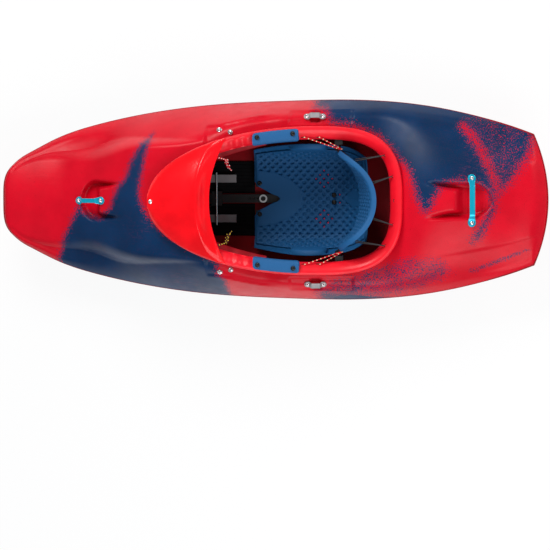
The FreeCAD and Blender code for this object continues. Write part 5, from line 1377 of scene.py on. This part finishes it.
@dataclass
class Seat:
    """The moulded pan, its honeycomb pad with a smooth band round the notch, and the hip pads."""

    front: float = -88.0
    rear: float = 306.0
    floor: float = 40.0
    bend: float = 70.0
    notch_depth: float = 85.0
    notch_half: float = 52.0
    pad_reach: float = 0.82
    taper: Curve = spline([(0.0, 1.1), (0.07, 0.93), (0.19, 0.74), (0.35, 0.60), (0.59, 0.38), (0.80, 0.22),
                           (0.93, 0.13), (1.0, 0.0)])
    half: Curve = spline([(-88, 170), (-20, 182), (60, 190), (190, 188), (260, 172), (306, 146)])
    side: Curve = spline([(-88, 26), (-20, 66), (60, 150), (180, 150), (230, 104), (306, 60)])

    def span(self, x: np.ndarray) -> np.ndarray:
        """Half the pan's width at a station: the curve's shape, brought to 186 at its widest."""
        return self.half(x) * 186.0 / 190.0

    def surface(self, x: np.ndarray, share: np.ndarray, lift: np.ndarray) -> np.ndarray:
        """A point of the seat: flat to half the share, then a bend of 82 degrees, lifted square to it."""
        wide = self.span(x)
        rise = self.side(x)

        def section(part: np.ndarray) -> tuple[np.ndarray, np.ndarray]:
            """Offset and height of the section at a share."""
            part = np.clip(part, -1.0, 1.0)
            flat = wide - self.bend
            angle = np.maximum(np.abs(part) - 0.5, 0.0) / 0.5 * math.radians(82.0)
            y = np.where(np.abs(part) <= 0.5, part / 0.5 * flat,
                         np.sign(part) * (flat + self.bend * np.sin(angle)))
            return y, rise * (1.0 - np.cos(angle))

        y, z = section(share)
        ahead, behind = section(share + 0.01), section(share - 0.01)
        run_y, run_z = ahead[0] - behind[0], ahead[1] - behind[1]
        length = np.hypot(run_y, run_z)
        back = 92.0 * np.maximum((x - 190.0) / (self.rear - 190.0), 0.0) ** 2
        return np.stack([x, y - lift * run_z / length, self.floor + z + back + lift * run_y / length], axis=-1)

    def notch(self, grow: float) -> Pairs:
        """The outline of the notch in the front of the seat, as (x, y): a teardrop that points to the rear."""
        share = np.linspace(0.0, 1.0, 25)
        x = self.front + (self.notch_depth + grow) * share
        edge = [(float(a), float(b)) for a, b in zip(x, (self.notch_half + grow) * self.taper(share))]
        edge.insert(0, (self.front - 40.0, edge[0][1]))
        return [(a, -b) for a, b in edge[:-1]] + edge[::-1]

    def layer(self, name: str, front: float, rear: float, reach: float, outline: Pairs, cell: float,
              top: Callable[[np.ndarray, np.ndarray, np.ndarray], tuple[np.ndarray, np.ndarray]],
              thick: float) -> bpy.types.Object:
        """A layer of the seat with the notch cut out of it.

        Args:
            name: the piece's name.
            front: first station.
            rear: last station.
            reach: share that it spans to each side.
            outline: the notch.
            cell: size of the grid.
            top: gives the lift of the upper face and how much painted shade each point gets, from station, girth and
                share.
            thick: thickness, taken inwards by a solid wall.

        Returns:
            The closed piece.
        """
        stations = np.linspace(front, rear, round((rear - front) / cell))
        shares = np.linspace(-reach, reach, round(500.0 * reach / cell))
        x, share = np.meshgrid(stations, shares, indexing="ij")
        flat = self.surface(x, share, np.zeros_like(x))
        girth = np.cumsum(np.hypot(np.diff(flat[..., 1], axis=1, prepend=flat[:, :1, 1]),
                                   np.diff(flat[..., 2], axis=1, prepend=flat[:, :1, 2])), axis=1)
        girth -= girth[:, [girth.shape[1] // 2]]
        cut_x, cut_y, keep = cut_at(outline, x, flat[..., 1])
        wide = self.span(x) - self.bend
        share = np.where(np.abs(share) <= 0.5, np.clip(cut_y / wide * 0.5, -0.5, 0.5), share)
        lift, pit = top(cut_x, girth, share)
        work = Patchwork(name)
        work.grid(self.surface(cut_x, share, lift), keep=keep, pit=pit)
        made = work.build()
        finish_with(made, "SOLIDIFY", thickness=thick * MM, offset=-1.0)
        return made

    def pad_face(self, x: np.ndarray, girth: np.ndarray, share: np.ndarray) -> tuple[np.ndarray, np.ndarray]:
        """Height of the pad, and how much painted shade each point gets.

        Pits cover it but for a smooth band round the notch, half an ellipse, a small wedge at the rear and a
        border along the edge, which is rounded off.
        """
        band = 1.0 - ramp(np.hypot((x - self.front) / 164.0, girth / 95.0), 0.97, 1.01)
        wedge = ramp(depth_in(((212.0, 0.0), (246.0, 30.0), (276.0, 24.0), (276.0, -24.0), (246.0, -30.0)), x, girth),
                     -1.0, 2.0)
        smooth = np.maximum(band, wedge)
        ends = np.minimum(x - (self.front + 6.0), self.rear - 12.0 - x)
        outer = np.minimum(ends, (self.pad_reach - np.abs(share)) * 400.0)
        rim = 1.0 - ramp(outer, 5.0, 9.0)
        pit = staggered(x, girth, 5.4, 6.6) * (1.0 - smooth) * (1.0 - rim)
        slot = bump(girth, 0.0, 1.6) * ramp(x, 226.0, 232.0) * (1.0 - ramp(x, 262.0, 268.0))
        lift = 9.3 + 0.9 * smooth * (1.0 - rim) - 6.6 * pit - 2.0 * slot
        lift = lift - 2.5 * (1.0 - ramp(outer, 0.0, 5.0)) ** 2
        # Painted shade: nearly black in the pits, deep in the slot and faint at the rounded edge.
        return lift, 0.97 * pit + 0.2 * (1.0 - ramp(outer, 0.0, 6.0)) + 0.7 * slot

    def pan_face(self, x: np.ndarray, girth: np.ndarray, share: np.ndarray) -> tuple[np.ndarray, np.ndarray]:
        """The pan's upper face, with a rolled edge and shallow pits up its sides, and painted shade in those pits."""
        outer = np.minimum(np.minimum(x - self.front, self.rear - x), (1.0 - np.abs(share)) * 400.0)
        pit = staggered(x, girth, 5.4, 6.6) * ramp(outer, 7.0, 11.0) * ramp(np.abs(share), 0.80, 0.81)
        return 0.8 * (1.0 - ramp(outer, 2.0, 8.0)) - 0.2 - 0.8 * pit, 0.9 * pit

    def drains(self) -> bpy.types.Object:
        """Red plugs at the bottom of some pits: a diamond of nine on each side and three at the rear."""
        p = PIT_PITCH
        diamond = [(a * p, b * p) for a in (-2, -1, 0, 1, 2) for b in (-2, -1, 0, 1, 2)
                   if abs(a) + abs(b) in (0, 2)]
        places = [(11.0 * p + a, s * 5.0 * p + b) for s in (-1.0, 1.0) for a, b in diamond]
        places += [(15.0 * p, p), (15.0 * p, -p), (16.0 * p, 0.0)]
        work = Patchwork("seat_drain_plugs")
        for x, y in places:
            share = np.array(y / (self.span(np.array(x)) - self.bend) * 0.5)
            at = self.surface(np.array(x), share, np.array(3.4))
            plug = revolve([(0.01, 1.5), (1.6, 1.4), (2.8, 0.9), (3.4, 0.0), (3.4, -0.6), (0.01, -0.6)], 14)
            work.grid(placed(plug, at, (0.0, 0.0, 1.0)), wrap_v=True)
        return work.build()

    def hip_pad(self, side: Side) -> bpy.types.Object:
        """A crowned block of foam against the side of the pan."""
        s = side.value
        x, share = spread(42.0, 170.0, 60, 0.835, 1.0, 40)
        u = (x - 106.0) / 64.0
        v = (share - 0.9175) / 0.0825
        corner = np.clip(1.0 - (np.abs(u) ** 6 + np.abs(v) ** 6), 0.0, 1.0) ** 0.35
        crown = 0.9 + 20.0 * (0.2 + 0.8 * corner)
        outer = self.surface(x, s * share, crown)
        inner = self.surface(x, s * share, np.full_like(x, 0.9))
        work = Patchwork(f"hip_{side.word}_foam")
        edge = np.maximum(np.abs(u), np.abs(v)) ** 14
        # Painted shade grows towards the pad's rounded edges.
        work.slab(outer, inner, pit=0.25 * edge)
        made = work.build()
        round_off(made, 1.5, 55.0, 2)
        return made

    def build(self) -> None:
        """Builds and dresses the seat's pieces."""
        pan = self.layer("seat_pan_shell", self.front, self.rear, 1.0, self.notch(0.0), 2.7,
                         self.pan_face, 4.0)
        dress(pan, PAD_BLUE, "pad_blue", "seat", "seat_pan")
        pad = self.layer("seat_pad_foam", self.front + 6.0, self.rear - 12.0, self.pad_reach, self.notch(3.0), 1.75,
                         self.pad_face, 1.8)
        dress_soft(pad, PAD_BLUE, "pad_blue", "seat", "seat_pad")
        dress(self.drains(), CAP_RED, "cap", "seat")
        for side in Side:
            dress_soft(self.hip_pad(side), PAD_BLUE, "pad_blue", "seat", f"hip_pad_{side.word}")


@dataclass
class Backband:
    """The curved backband: a black shell with a honeycomb foam lining. Its hangers stay CAD nodes."""

    half: float = 170.0
    apex: float = 348.0
    sweep: float = 138.0
    recline: float = 100.0
    thick: float = 9.0
    pad: float = 12.0
    power: float = 2.2
    lining_reach: float = 0.93
    lining_foot: float = 0.04
    bottom: Curve = spline([(0.0, 178), (0.45, 186), (0.75, 205), (1.0, 236)])
    top: Curve = spline([(0.0, 334), (0.4, 341), (0.78, 349), (0.9, 318), (1.0, 270)])

    def surface(self, share: np.ndarray, level: np.ndarray, offset: np.ndarray) -> np.ndarray:
        """A point of the band: a curve of power 2.2 across, leaning back below, offset square to it."""
        part = np.abs(share)
        low, high = self.bottom(part), self.top(part)
        z = low + (high - low) * level
        x = self.apex - self.sweep * part**self.power
        slope = -self.sweep * self.power * part ** (self.power - 1.0) / self.half
        length = np.hypot(1.0, slope)
        lean = self.recline * (z - 334.0) / 156.0 * 0.5 * (1.0 - part**2)
        y = share * self.half - np.sign(share) * slope * offset / length
        return np.stack([x + lean + offset / length, y, z], axis=-1)

    def shell(self) -> bpy.types.Object:
        """The stiff back, ribbed along its length."""
        share, level = spread(-1.0, 1.0, 130, 0.0, 0.945, 46)
        ribs = 0.9 * (np.abs(np.sin(level * math.pi * 4.0)) ** 0.5 - 1.0) * (1.0 - np.abs(share) ** 8)
        work = Patchwork("backband_back")
        front = self.surface(share, level, np.zeros_like(share))
        work.slab(self.surface(share, level, self.thick + ribs), front)
        made = work.build()
        round_off(made, 2.2, 50.0, 3)
        return made

    def lining(self) -> bpy.types.Object:
        """The foam lining: staggered pits, a smooth border, and a thick edge that wraps over the shell."""
        share, level = spread(-self.lining_reach, self.lining_reach, 280, self.lining_foot, 1.0, 120)
        flat = self.surface(share, level, np.zeros_like(share))
        run = np.hypot(np.diff(flat[..., 0], axis=0, prepend=flat[:1, :, 0]),
                       np.diff(flat[..., 1], axis=0, prepend=flat[:1, :, 1]))
        girth = np.cumsum(run, axis=0)
        girth -= girth[[girth.shape[0] // 2]]
        high = self.top(np.abs(share)) - self.bottom(np.abs(share))
        border = np.minimum(np.minimum((1.0 - level) * high, (level - self.lining_foot) * high),
                            (self.lining_reach - np.abs(share)) * 180.0)
        pit = staggered(girth, flat[..., 2], 5.6, 7.2) * ramp(border, 3.5, 6.0)
        crown = self.pad * (0.25 + 0.55 * np.sqrt(np.clip(border / 8.0, 0.0, 1.0)))
        crown = crown + 14.0 * (1.0 - level) * (1.0 - share**2) * ramp(border, 0.0, 14.0)
        inner = self.surface(share, level, -0.3 - crown + np.minimum(6.4, crown - 1.6) * pit)
        back = self.surface(share, level, -0.3 + 10.0 * ramp(level, 0.952, 0.962))
        work = Patchwork("backband_lining")
        # Painted shade in the pits and along the rounded border.
        work.slab(back, inner, pit=np.maximum(0.95 * pit, 0.2 * (1.0 - ramp(border, 0.0, 5.0))))
        made = work.build()
        round_off(made, 2.0, 60.0, 3)
        return made

    def build(self) -> None:
        """Builds and dresses the band."""
        dress(self.shell(), BAND_BACK, "black", "backband", "backband_shell")
        dress_soft(self.lining(), PAD_BLUE, "pad_blue", "backband", "backband_pad")
        for side in Side:
            dress_node(f"backband_hanger_{side.word}", BLACK)


# ---------------------------------------------------------------- cords


def smooth_route(name: str, points_mm: Sequence[Sequence[float]],
                 steps: int = 12) -> tuple[bpy.types.Object, np.ndarray]:
    """A NURBS curve with these control points, and the points that it runs through.

    Args:
        name: the curve object's name.
        points_mm: the control points.
        steps: points for each span.

    Returns:
        The curve's object, and its points in millimetres.
    """
    curve = bpy.data.curves.new(name, "CURVE")
    curve.dimensions = "3D"
    curve.resolution_u = steps
    line = curve.splines.new("NURBS")
    line.points.add(len(points_mm) - 1)
    flat = np.array([(*p, 1.0 / MM) for p in points_mm], float) * MM
    line.points.foreach_set("co", flat.ravel())
    line.order_u = 3
    line.use_endpoint_u = True
    made = bpy.data.objects.new(name, curve)
    bpy.context.scene.collection.objects.link(made)
    bpy.context.view_layer.update()
    mesh = bpy.data.meshes.new_from_object(made)
    co = np.empty(len(mesh.vertices) * 3)
    mesh.vertices.foreach_get("co", co)
    bpy.data.meshes.remove(mesh)
    return made, co.reshape(-1, 3) / MM


def cord_mesh(name: str, path: np.ndarray, diameter: float) -> bpy.types.Object:
    """A closed tube along a path, with a UV map of metres along and turns round."""
    radius = diameter / 2.0
    before = path[:1] + (path[:1] - path[1:2]) * 0.001
    after = path[-1:] + (path[-1:] - path[-2:-1]) * 0.001
    path = np.vstack([before, path, after])
    run = np.concatenate([[0.0], np.cumsum(np.linalg.norm(np.diff(path, axis=0), axis=1))])
    sides = 14
    scale = np.full(len(path), radius)
    scale[[0, -1]] = radius * 0.02
    section = scale[:, None, None] * circle(1.0, sides)
    points = sweep(path, section)
    points = np.concatenate([points, points[:, :1]], axis=1)
    work = Patchwork(name)
    along = np.repeat(run[:, None] * MM, sides + 1, axis=1)
    turn = np.broadcast_to(np.linspace(0.0, 1.0, sides + 1), along.shape)
    work.grid(points, along=along, turn=turn)
    made = work.build(0.0)
    mesh = made.data
    layer = mesh.uv_layers.new(name="along")
    corners = np.empty(len(mesh.loops), np.int32)
    mesh.loops.foreach_get("vertex_index", corners)
    values = np.stack([along.ravel(), turn.ravel()], axis=-1)[corners]
    layer.data.foreach_set("uv", values.astype(np.float32).ravel())
    return made


def joined_meshes(name: str, pieces: Sequence[bpy.types.Object]) -> bpy.types.Object:
    """Joins pieces into the first of them and names it."""
    with bpy.context.temp_override(active_object=pieces[0], object=pieces[0], selected_objects=list(pieces),
                                   selected_editable_objects=list(pieces)):
        bpy.ops.object.join()
    pieces[0].name = name
    return pieces[0]


def sagging(start: np.ndarray, stop: np.ndarray, sag: float, count: int = 24) -> np.ndarray:
    """Points from start to stop that hang below the straight line by a parabola."""
    share = np.linspace(0.0, 1.0, count)[:, None]
    path = start + (stop - start) * share
    path[:, 2] -= sag * 4.0 * (share * (1.0 - share))[:, 0]
    return path


@dataclass
class Cordage:
    """The tension cords, the bungees and the two tie cords of the front cap."""

    band: Backband

    def tension(self, side: Side) -> None:
        """Two strands from the rim to the wing of the backband."""
        s = side.value
        strands = []
        ends = [(236.0, s * 168.5, 300.0), (241.0, s * 168.0, 290.0)]
        for i, (x, end) in enumerate(zip(TENSION_STATIONS, ends)):
            start = np.array([x + 3.0, s * float(RIM.width(x, TENSION_INSET)), rim_height(x) - 10.5])
            strands.append(cord_mesh(f"strand_{side.word}_{i}", sagging(start, np.array(end), 0.8), 3.4))
        piece = joined_meshes(f"backband_strap_{side.word}", strands)
        self.span(piece, TENSION, "cord", f"tension_cord_{side.word}", start, np.array(ends[1]))

    def span(self, piece: bpy.types.Object, finish: Finish, slot: str, node: str, start: np.ndarray,
             stop: np.ndarray) -> None:
        """Dresses a cord that runs from the boat to the backband."""
        piece.data.materials.append(finish.make())
        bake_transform(piece)
        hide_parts(node)

    def bungees(self, side: Side) -> None:
        """Elastic strands from the back of the band to two holes in the rim, a pair side by side to each."""
        s = side.value
        strands = []
        for i, (turn, share, clear) in enumerate(zip(BUNGEE_TURNS, (0.72, 0.3), (1.75, 0.75))):
            angle = s * turn * 2.0 * math.pi
            x, y = rim_place(angle, BUNGEE_INSET)
            start = np.array([x - 4.0, y, rim_height(rim_place(angle)[0]) - 7.6 + 3.0])
            stop = self.band.surface(np.array(s * share), np.array(0.8), np.array(9.0 + clear))
            for apart in (0.0, 6.0):
                aside = np.array([0.0, s * apart, -0.4 * apart])
                strands.append(cord_mesh(f"bungee_{side.word}_{i}_{apart:.0f}",
                                         sagging(start, stop + aside, 0.5 + apart), 3.6))
        piece = joined_meshes(f"elastic_{side.word}", strands)
        self.span(piece, BUNGEE, "bungee", f"bungee_{side.word}", start, stop)

    def tie(self, side: Side) -> None:
        """A free cord that hangs from under the cap in two loose bends, with knots along it."""
        s = side.value
        route = [(-166.0, s * 145.0, 394.0), (-131.0, s * 139.0, 374.0), (-141.0, s * 120.0, 339.0),
                 (-125.0, s * 100.0, 320.0)]
        guide, path = smooth_route(f"tie_route_{side.word}", route, 16)
        piece = cord_mesh(f"tie_{side.word}", path, 4.0)
        bpy.data.objects.remove(guide)
        finish = TIE_RED if side is Side.STARBOARD else TIE_YELLOW
        dress(piece, finish, "cord", "boat", f"tie_cord_{side.word}")
        knots = self.knots(side, path)
        dress(knots, finish, "cord", "boat")

    def knots(self, side: Side, path: np.ndarray) -> bpy.types.Object:
        """Three knots along the cord, each a small trefoil of thin cord."""
        pieces = []
        for i, share in enumerate((0.42, 0.62, 0.82)):
            middle = path[int(share * (len(path) - 1))]
            t = np.linspace(0.0, 2.0 * math.pi, 60)
            loop = np.stack([np.sin(t) + 2.0 * np.sin(2.0 * t), np.cos(t) - 2.0 * np.cos(2.0 * t),
                             -1.2 * np.sin(3.0 * t)], axis=-1) * 1.9
            pieces.append(cord_mesh(f"knot_{side.word}_{i}", loop + middle, 3.2))
        return joined_meshes(f"tie_knots_{side.word}", pieces)

    def build(self) -> None:
        """Builds all the cords."""
        for side in Side:
            self.tie(side)
            self.tension(side)
            self.bungees(side)


# ---------------------------------------------------------------- footrest, floor and fastenings


def screws_in(name: str, reach: float = 10.0) -> list[tuple[np.ndarray, np.ndarray]]:
    """Where the screws of a CAD node stand.

    Args:
        name: the node.
        reach: more than a head's radius, and less than the room between two heads.

    Returns:
        The top and the axis of each screw: the middle and the mean normal of its faces that look up.
    """
    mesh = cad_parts[name].data
    rows = {}
    for key, width in (("center", 3), ("normal", 3), ("area", 1)):
        values = np.empty(len(mesh.polygons) * width)
        mesh.polygons.foreach_get(key, values)
        rows[key] = values.reshape(-1, width)
    table = np.hstack([rows["center"] / MM, rows["normal"] * rows["area"], rows["area"]])
    table = table[rows["normal"][:, 2] > 0.4]
    found = []
    while len(table):
        at = table[0, :2]
        for _ in range(6):
            near = np.hypot(*(table[:, :2] - at).T) < reach
            at = (table[near, :2].min(axis=0) + table[near, :2].max(axis=0)) / 2.0
        axis = table[near, 3:6].sum(axis=0)
        found.append((np.append(at, table[near, 2].max()), axis / np.linalg.norm(axis)))
        table = table[~near]
    return found


@dataclass
class Fastener:
    """A screw head with a hexagon socket, turned from a profile of (radius, height above the CAD head)."""

    profile: Pairs
    finish: Finish
    slot: str
    socket: float = 3.2

    def build(self, node: str, body: str) -> None:
        """Stands a head in for each screw of a node.

        Args:
            node: the CAD node that it replaces.
            body: the body that it rides on.
        """
        work = Patchwork(f"{node}_heads")
        for top, axis in screws_in(node):
            head = revolve(self.profile, 36)
            radius = np.hypot(head[..., 0], head[..., 1])
            turn = np.mod(np.arctan2(head[..., 1], head[..., 0]), math.pi / 3.0) - math.pi / 6.0
            flat = np.where(radius < self.socket, math.cos(math.pi / 6.0) / np.cos(turn), 1.0)
            head[..., :2] *= flat[..., None]
            work.grid(placed(head, top, axis), wrap_v=True)
        made = work.build()
        dress(made, self.finish, self.slot, body, node)


WASHER_HEAD: Pairs = ((0.01, -4.2), (9.4, -4.2), (9.6, -3.7), (8.8, -2.7), (7.2, -2.0), (6.6, -2.5), (6.3, -2.2),
                      (6.1, -0.7), (5.3, 0.2), (3.6, 0.4), (3.1, 0.2), (2.9, -1.9), (0.01, -2.0))
PAN_HEAD: Pairs = ((0.01, -3.6), (6.4, -3.6), (6.6, -3.0), (6.3, -1.2), (5.3, -0.2), (3.5, 0.1), (3.0, -0.1),
                   (2.8, -2.0), (0.01, -2.1))
DOME_HEAD: Pairs = ((0.01, -3.0), (8.0, -3.0), (8.3, -2.6), (8.0, -1.4), (6.7, -0.1), (4.7, 0.7), (3.1, 0.9),
                    (2.8, -1.0), (0.01, -1.1))


@dataclass
class Interior:
    """What lies ahead of the seat: footrest, mats, beam and rails; and every fastening."""

    def block(self, name: str, node: str, rounding: float, ribs: tuple[int, float] = (0, 0.0),
              axis: int = 2) -> bpy.types.Object:
        """A rounded block in a node's own box, with grooves across it.

        Args:
            name: the piece's name.
            node: the node whose box it fills.
            rounding: radius of its edges in millimetres.
            ribs: how many grooves, and how deep.
            axis: the axis that the grooves repeat along.
        """
        low, high = (np.array(v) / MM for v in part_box(node))
        middle, half = (low + high) / 2.0, (high - low) / 2.0
        pieces = Patchwork(name)
        u, v = spread(-1.0, 1.0, 61, -1.0, 1.0, 61)
        for a in range(3):
            b, c = (a + 1) % 3, (a + 2) % 3
            for s in (-1.0, 1.0):
                points = np.zeros(u.shape + (3,))
                points[..., a], points[..., b], points[..., c] = s, u, v
                world = points * half
                if ribs[0] and a == 0:
                    share = points[..., axis]
                    groove = np.abs(np.sin(share * math.pi * ribs[0] / 2.0)) ** 0.4
                    edge = ramp(1.0 - np.maximum(np.abs(u), np.abs(v)), 0.04, 0.12)
                    world[..., 0] -= s * ribs[1] * (1.0 - groove) * edge
                inner = half - rounding
                core = np.clip(world, -inner, inner)
                away = world - core
                length = np.maximum(np.linalg.norm(away, axis=-1, keepdims=True), 1e-9)
                world = core + away / length * np.minimum(length, rounding)
                pieces.grid(world + middle, flip=s < 0.0)
        return pieces.build()

    def fastenings(self) -> None:
        """Heads for all the screws and bolts."""
        washer = Fastener(WASHER_HEAD, STEEL, "steel")
        washer.build("hook_screws", "boat")
        Fastener([(0.8 * r, h) for r, h in WASHER_HEAD], STEEL, "steel", 2.6).build("riser_screw", "boat")
        pan = Fastener(PAN_HEAD, STEEL, "steel")
        for node in ("bow_handle_screws", "stern_handle_screws", "lift_bar_screws"):
            pan.build(node, "boat")
        dome = Fastener(DOME_HEAD, DARK_STEEL, "dark_steel")
        dome.build("brace_bolts", "boat")
        dome.build("seat_bolts", "seat")

    def mat(self, side: Side) -> bpy.types.Object:
        """A floor mat: flat across, grooved along, laid on the floor, with rounded edges."""
        low, high = (np.array(v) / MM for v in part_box(f"floor_mat_{side.word}"))
        x, y = spread(low[0], high[0], 120, low[1], high[1], 60)
        wide = max(abs(low[1]), abs(high[1]))
        floor = LINES.hull(x, np.full_like(y, wide)) + LINES.wall + 1.0
        edge = np.minimum(np.minimum(x - low[0], high[0] - x), np.minimum(y - low[1], high[1] - y))
        grooves = bump(np.mod(y, 12.0), 6.0, 1.3) * ramp(edge, 6.0, 10.0)
        top = floor + 5.2 - 1.2 * grooves - 1.5 * (1.0 - ramp(edge, 0.0, 3.0))
        work = Patchwork(f"mat_{side.word}_foam")
        # Painted shade in the grooves.
        work.slab(np.stack([x, y, top], axis=-1), np.stack([x, y, floor], axis=-1), pit=0.7 * grooves)
        return work.build()

    def pillar(self, name: str, node: str, gap: float) -> bpy.types.Object:
        """A foam pillar cut to the floor and the deck, glued up from three layers and rounded at its corners."""
        low, high = (np.array(v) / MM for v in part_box(node))
        x, y = spread(low[0], high[0], 70, low[1], high[1], 31)
        wide = np.full_like(y, high[1])
        floor = np.maximum(LINES.hull(x, wide), LINES.hull(x, 0.0 * y)) + LINES.wall + 0.8
        roof = np.minimum(LINES.deck(x, wide), LINES.deck(x, 0.0 * y)) - LINES.wall - gap
        roof = np.maximum(roof, floor + 8.0)
        joints = bump(np.abs(y), high[1] / 3.0, 1.0)
        work = Patchwork(name)
        upper = np.stack([x, y, roof - 1.4 * joints], axis=-1)
        # Painted shade in the grooves at the joints between the layers.
        work.slab(upper, np.stack([x, y, floor], axis=-1), pit=0.8 * joints)
        made = work.build()
        round_off(made, 3.0, 50.0, 3)
        return made

    def build(self) -> None:
        """Builds the blocks and dresses the nodes that stay."""
        plate = self.block("footrest_board", "footrest_plate", 4.0, (6, 1.0), 1)
        dress(plate, BLACK, "black", "footrest", "footrest_plate")
        for side in Side:
            pad = self.block(f"footrest_foam_{side.word}", f"foot_pad_{side.word}", 5.0, (14, 1.5), 2)
            dress_soft(pad, FOAM, "foam", "footrest", f"foot_pad_{side.word}")
            dress_node(f"footrest_arm_{side.word}", GREY)
            dress_soft(self.mat(side), FOAM, "foam", "boat", f"floor_mat_{side.word}")
            dress_node(f"seat_rail_{side.word}", BLACK)
        for name in ("index_beam", "footrest_carriage"):
            dress_node(name, BLACK)
        for node, gap in (("bow_pillar", 6.6), ("stern_pillar", 16.6)):
            dress_soft(self.pillar(f"{node}_foam", node, gap), FOAM, "foam", "boat", node)
        dress_node("cross_rod", STEEL)
        dress_node("beam_knob", STEEL)
        self.fastenings()


# ---------------------------------------------------------------- studio


@dataclass
class Studio:
    """A pale floor, soft lamps and the camera."""

    distance: float = 16.0
    tilt: float = math.radians(8.0)
    lean: float = math.radians(1.5)
    width: float = 1.828
    shift: tuple[float, float] = (0.0014, -0.1366)

    def camera(self) -> None:
        """Looks down with a long lens, leaning a little aft and to starboard of straight above."""
        data = bpy.data.cameras.new("camera")
        data.sensor_width = 36.0
        data.lens = 36.0 * self.distance / self.width
        data.shift_x, data.shift_y = self.shift
        data.clip_end = 100.0
        eye = bpy.data.objects.new("camera", data)
        back = Vector((math.sin(self.tilt), math.sin(self.lean), math.cos(self.tilt))).normalized()
        right = (Vector((1.0, 0.0, 0.0)) - back * back.x).normalized()
        eye.location = Vector((0.0, 0.0, 0.2)) + back * self.distance
        eye.rotation_euler = Matrix((right, back.cross(right), back)).transposed().to_euler()
        bpy.context.scene.collection.objects.link(eye)
        bpy.context.scene.camera = eye
        bpy.context.scene.view_settings.view_transform = "Standard"

    def lamp(self, name: str, place: Sequence[float], size: float, power: float, colour: Colour) -> None:
        """A square soft lamp that faces the middle of the boat."""
        data = bpy.data.lights.new(name, "AREA")
        data.shape = "SQUARE"
        data.size = size
        data.energy = power
        data.color = colour
        lamp = bpy.data.objects.new(name, data)
        lamp.location = place
        lamp.rotation_euler = (Vector((0.0, 0.0, 0.2)) - Vector(place)).to_track_quat("-Z", "Y").to_euler()
        bpy.context.scene.collection.objects.link(lamp)

    def seen(self, graph: Graph, *more: str) -> object:
        """1 for rays from the camera and through glass, and for the other kinds named."""
        path = graph.node("ShaderNodeLightPath")
        share = path.outputs["Is Camera Ray"]
        for kind in (*more, "Is Transmission Ray"):
            share = graph.maths("MAXIMUM", share, path.outputs[kind])
        return share

    def world(self) -> None:
        """A soft grey sky for light, and white where it is seen."""
        world = bpy.data.worlds.new("studio_sky")
        bpy.context.scene.world = world
        world.use_nodes = True
        graph = Graph(world.node_tree)
        soft = graph.node("ShaderNodeBackground", {"Color": (0.95, 0.97, 1.0), "Strength": 0.3})
        white = graph.node("ShaderNodeBackground", {"Color": (1.0, 1.0, 1.0), "Strength": 1.0})
        mixed = graph.node("ShaderNodeMixShader", {0: self.seen(graph), 1: soft.outputs[0], 2: white.outputs[0]})
        graph.node("ShaderNodeOutputWorld", {"Surface": mixed.outputs[0]})

    def floor(self) -> None:
        """A wide pale floor just under the hull that still takes the shadow."""
        work = Patchwork("studio_floor")
        x, y = spread(-9000.0, 9000.0, 13, -9000.0, 9000.0, 13)
        work.grid(np.stack([x, y, np.full_like(x, -1.0)], axis=-1))
        made = work.build()
        material = bpy.data.materials.new("studio_floor")
        material.use_nodes = True
        graph = Graph(material.node_tree)
        shader = graph.node("ShaderNodeBsdfPrincipled", {"Base Color": (0.86, 0.86, 0.87), "Roughness": 0.7})
        glow = graph.node("ShaderNodeEmission", {"Color": (1.0, 1.0, 1.0)})
        glow.inputs["Strength"].default_value = 1.0
        share = graph.maths("MULTIPLY", self.seen(graph, "Is Glossy Ray"), 0.9)
        mixed = graph.node("ShaderNodeMixShader", {0: share, 1: shader.outputs[0], 2: glow.outputs[0]})
        graph.node("ShaderNodeOutputMaterial", {"Surface": mixed.outputs[0]})
        made.data.materials.append(material)

    def build(self) -> None:
        """Builds the camera, the lamps, the sky and the floor."""
        self.camera()
        self.lamp("key", (-0.9, 2.7, 3.0), 1.9, 128.0, (1.0, 0.99, 0.98))
        self.lamp("fill", (1.4, -2.6, 3.0), 3.0, 115.0, (0.97, 0.98, 1.0))
        self.lamp("stern_strip", (2.8, 1.4, 1.3), 1.3, 20.0, (1.0, 1.0, 1.0))
        self.world()
        self.floor()


def main() -> None:
    """Builds the studio and the cords first, then the other sub-assemblies."""
    logging.basicConfig(level=logging.INFO, format="%(name)s %(message)s")
    Studio().build()
    band = Backband()
    Cordage(band).build()
    for maker in (Shell(), Coaming(), Cap(), GrabPoints(), Thigh(), Seat(), band, Interior()):
        LOG.info("building %s", type(maker).__name__)
        maker.build()


if __name__ == "__main__":
    main()
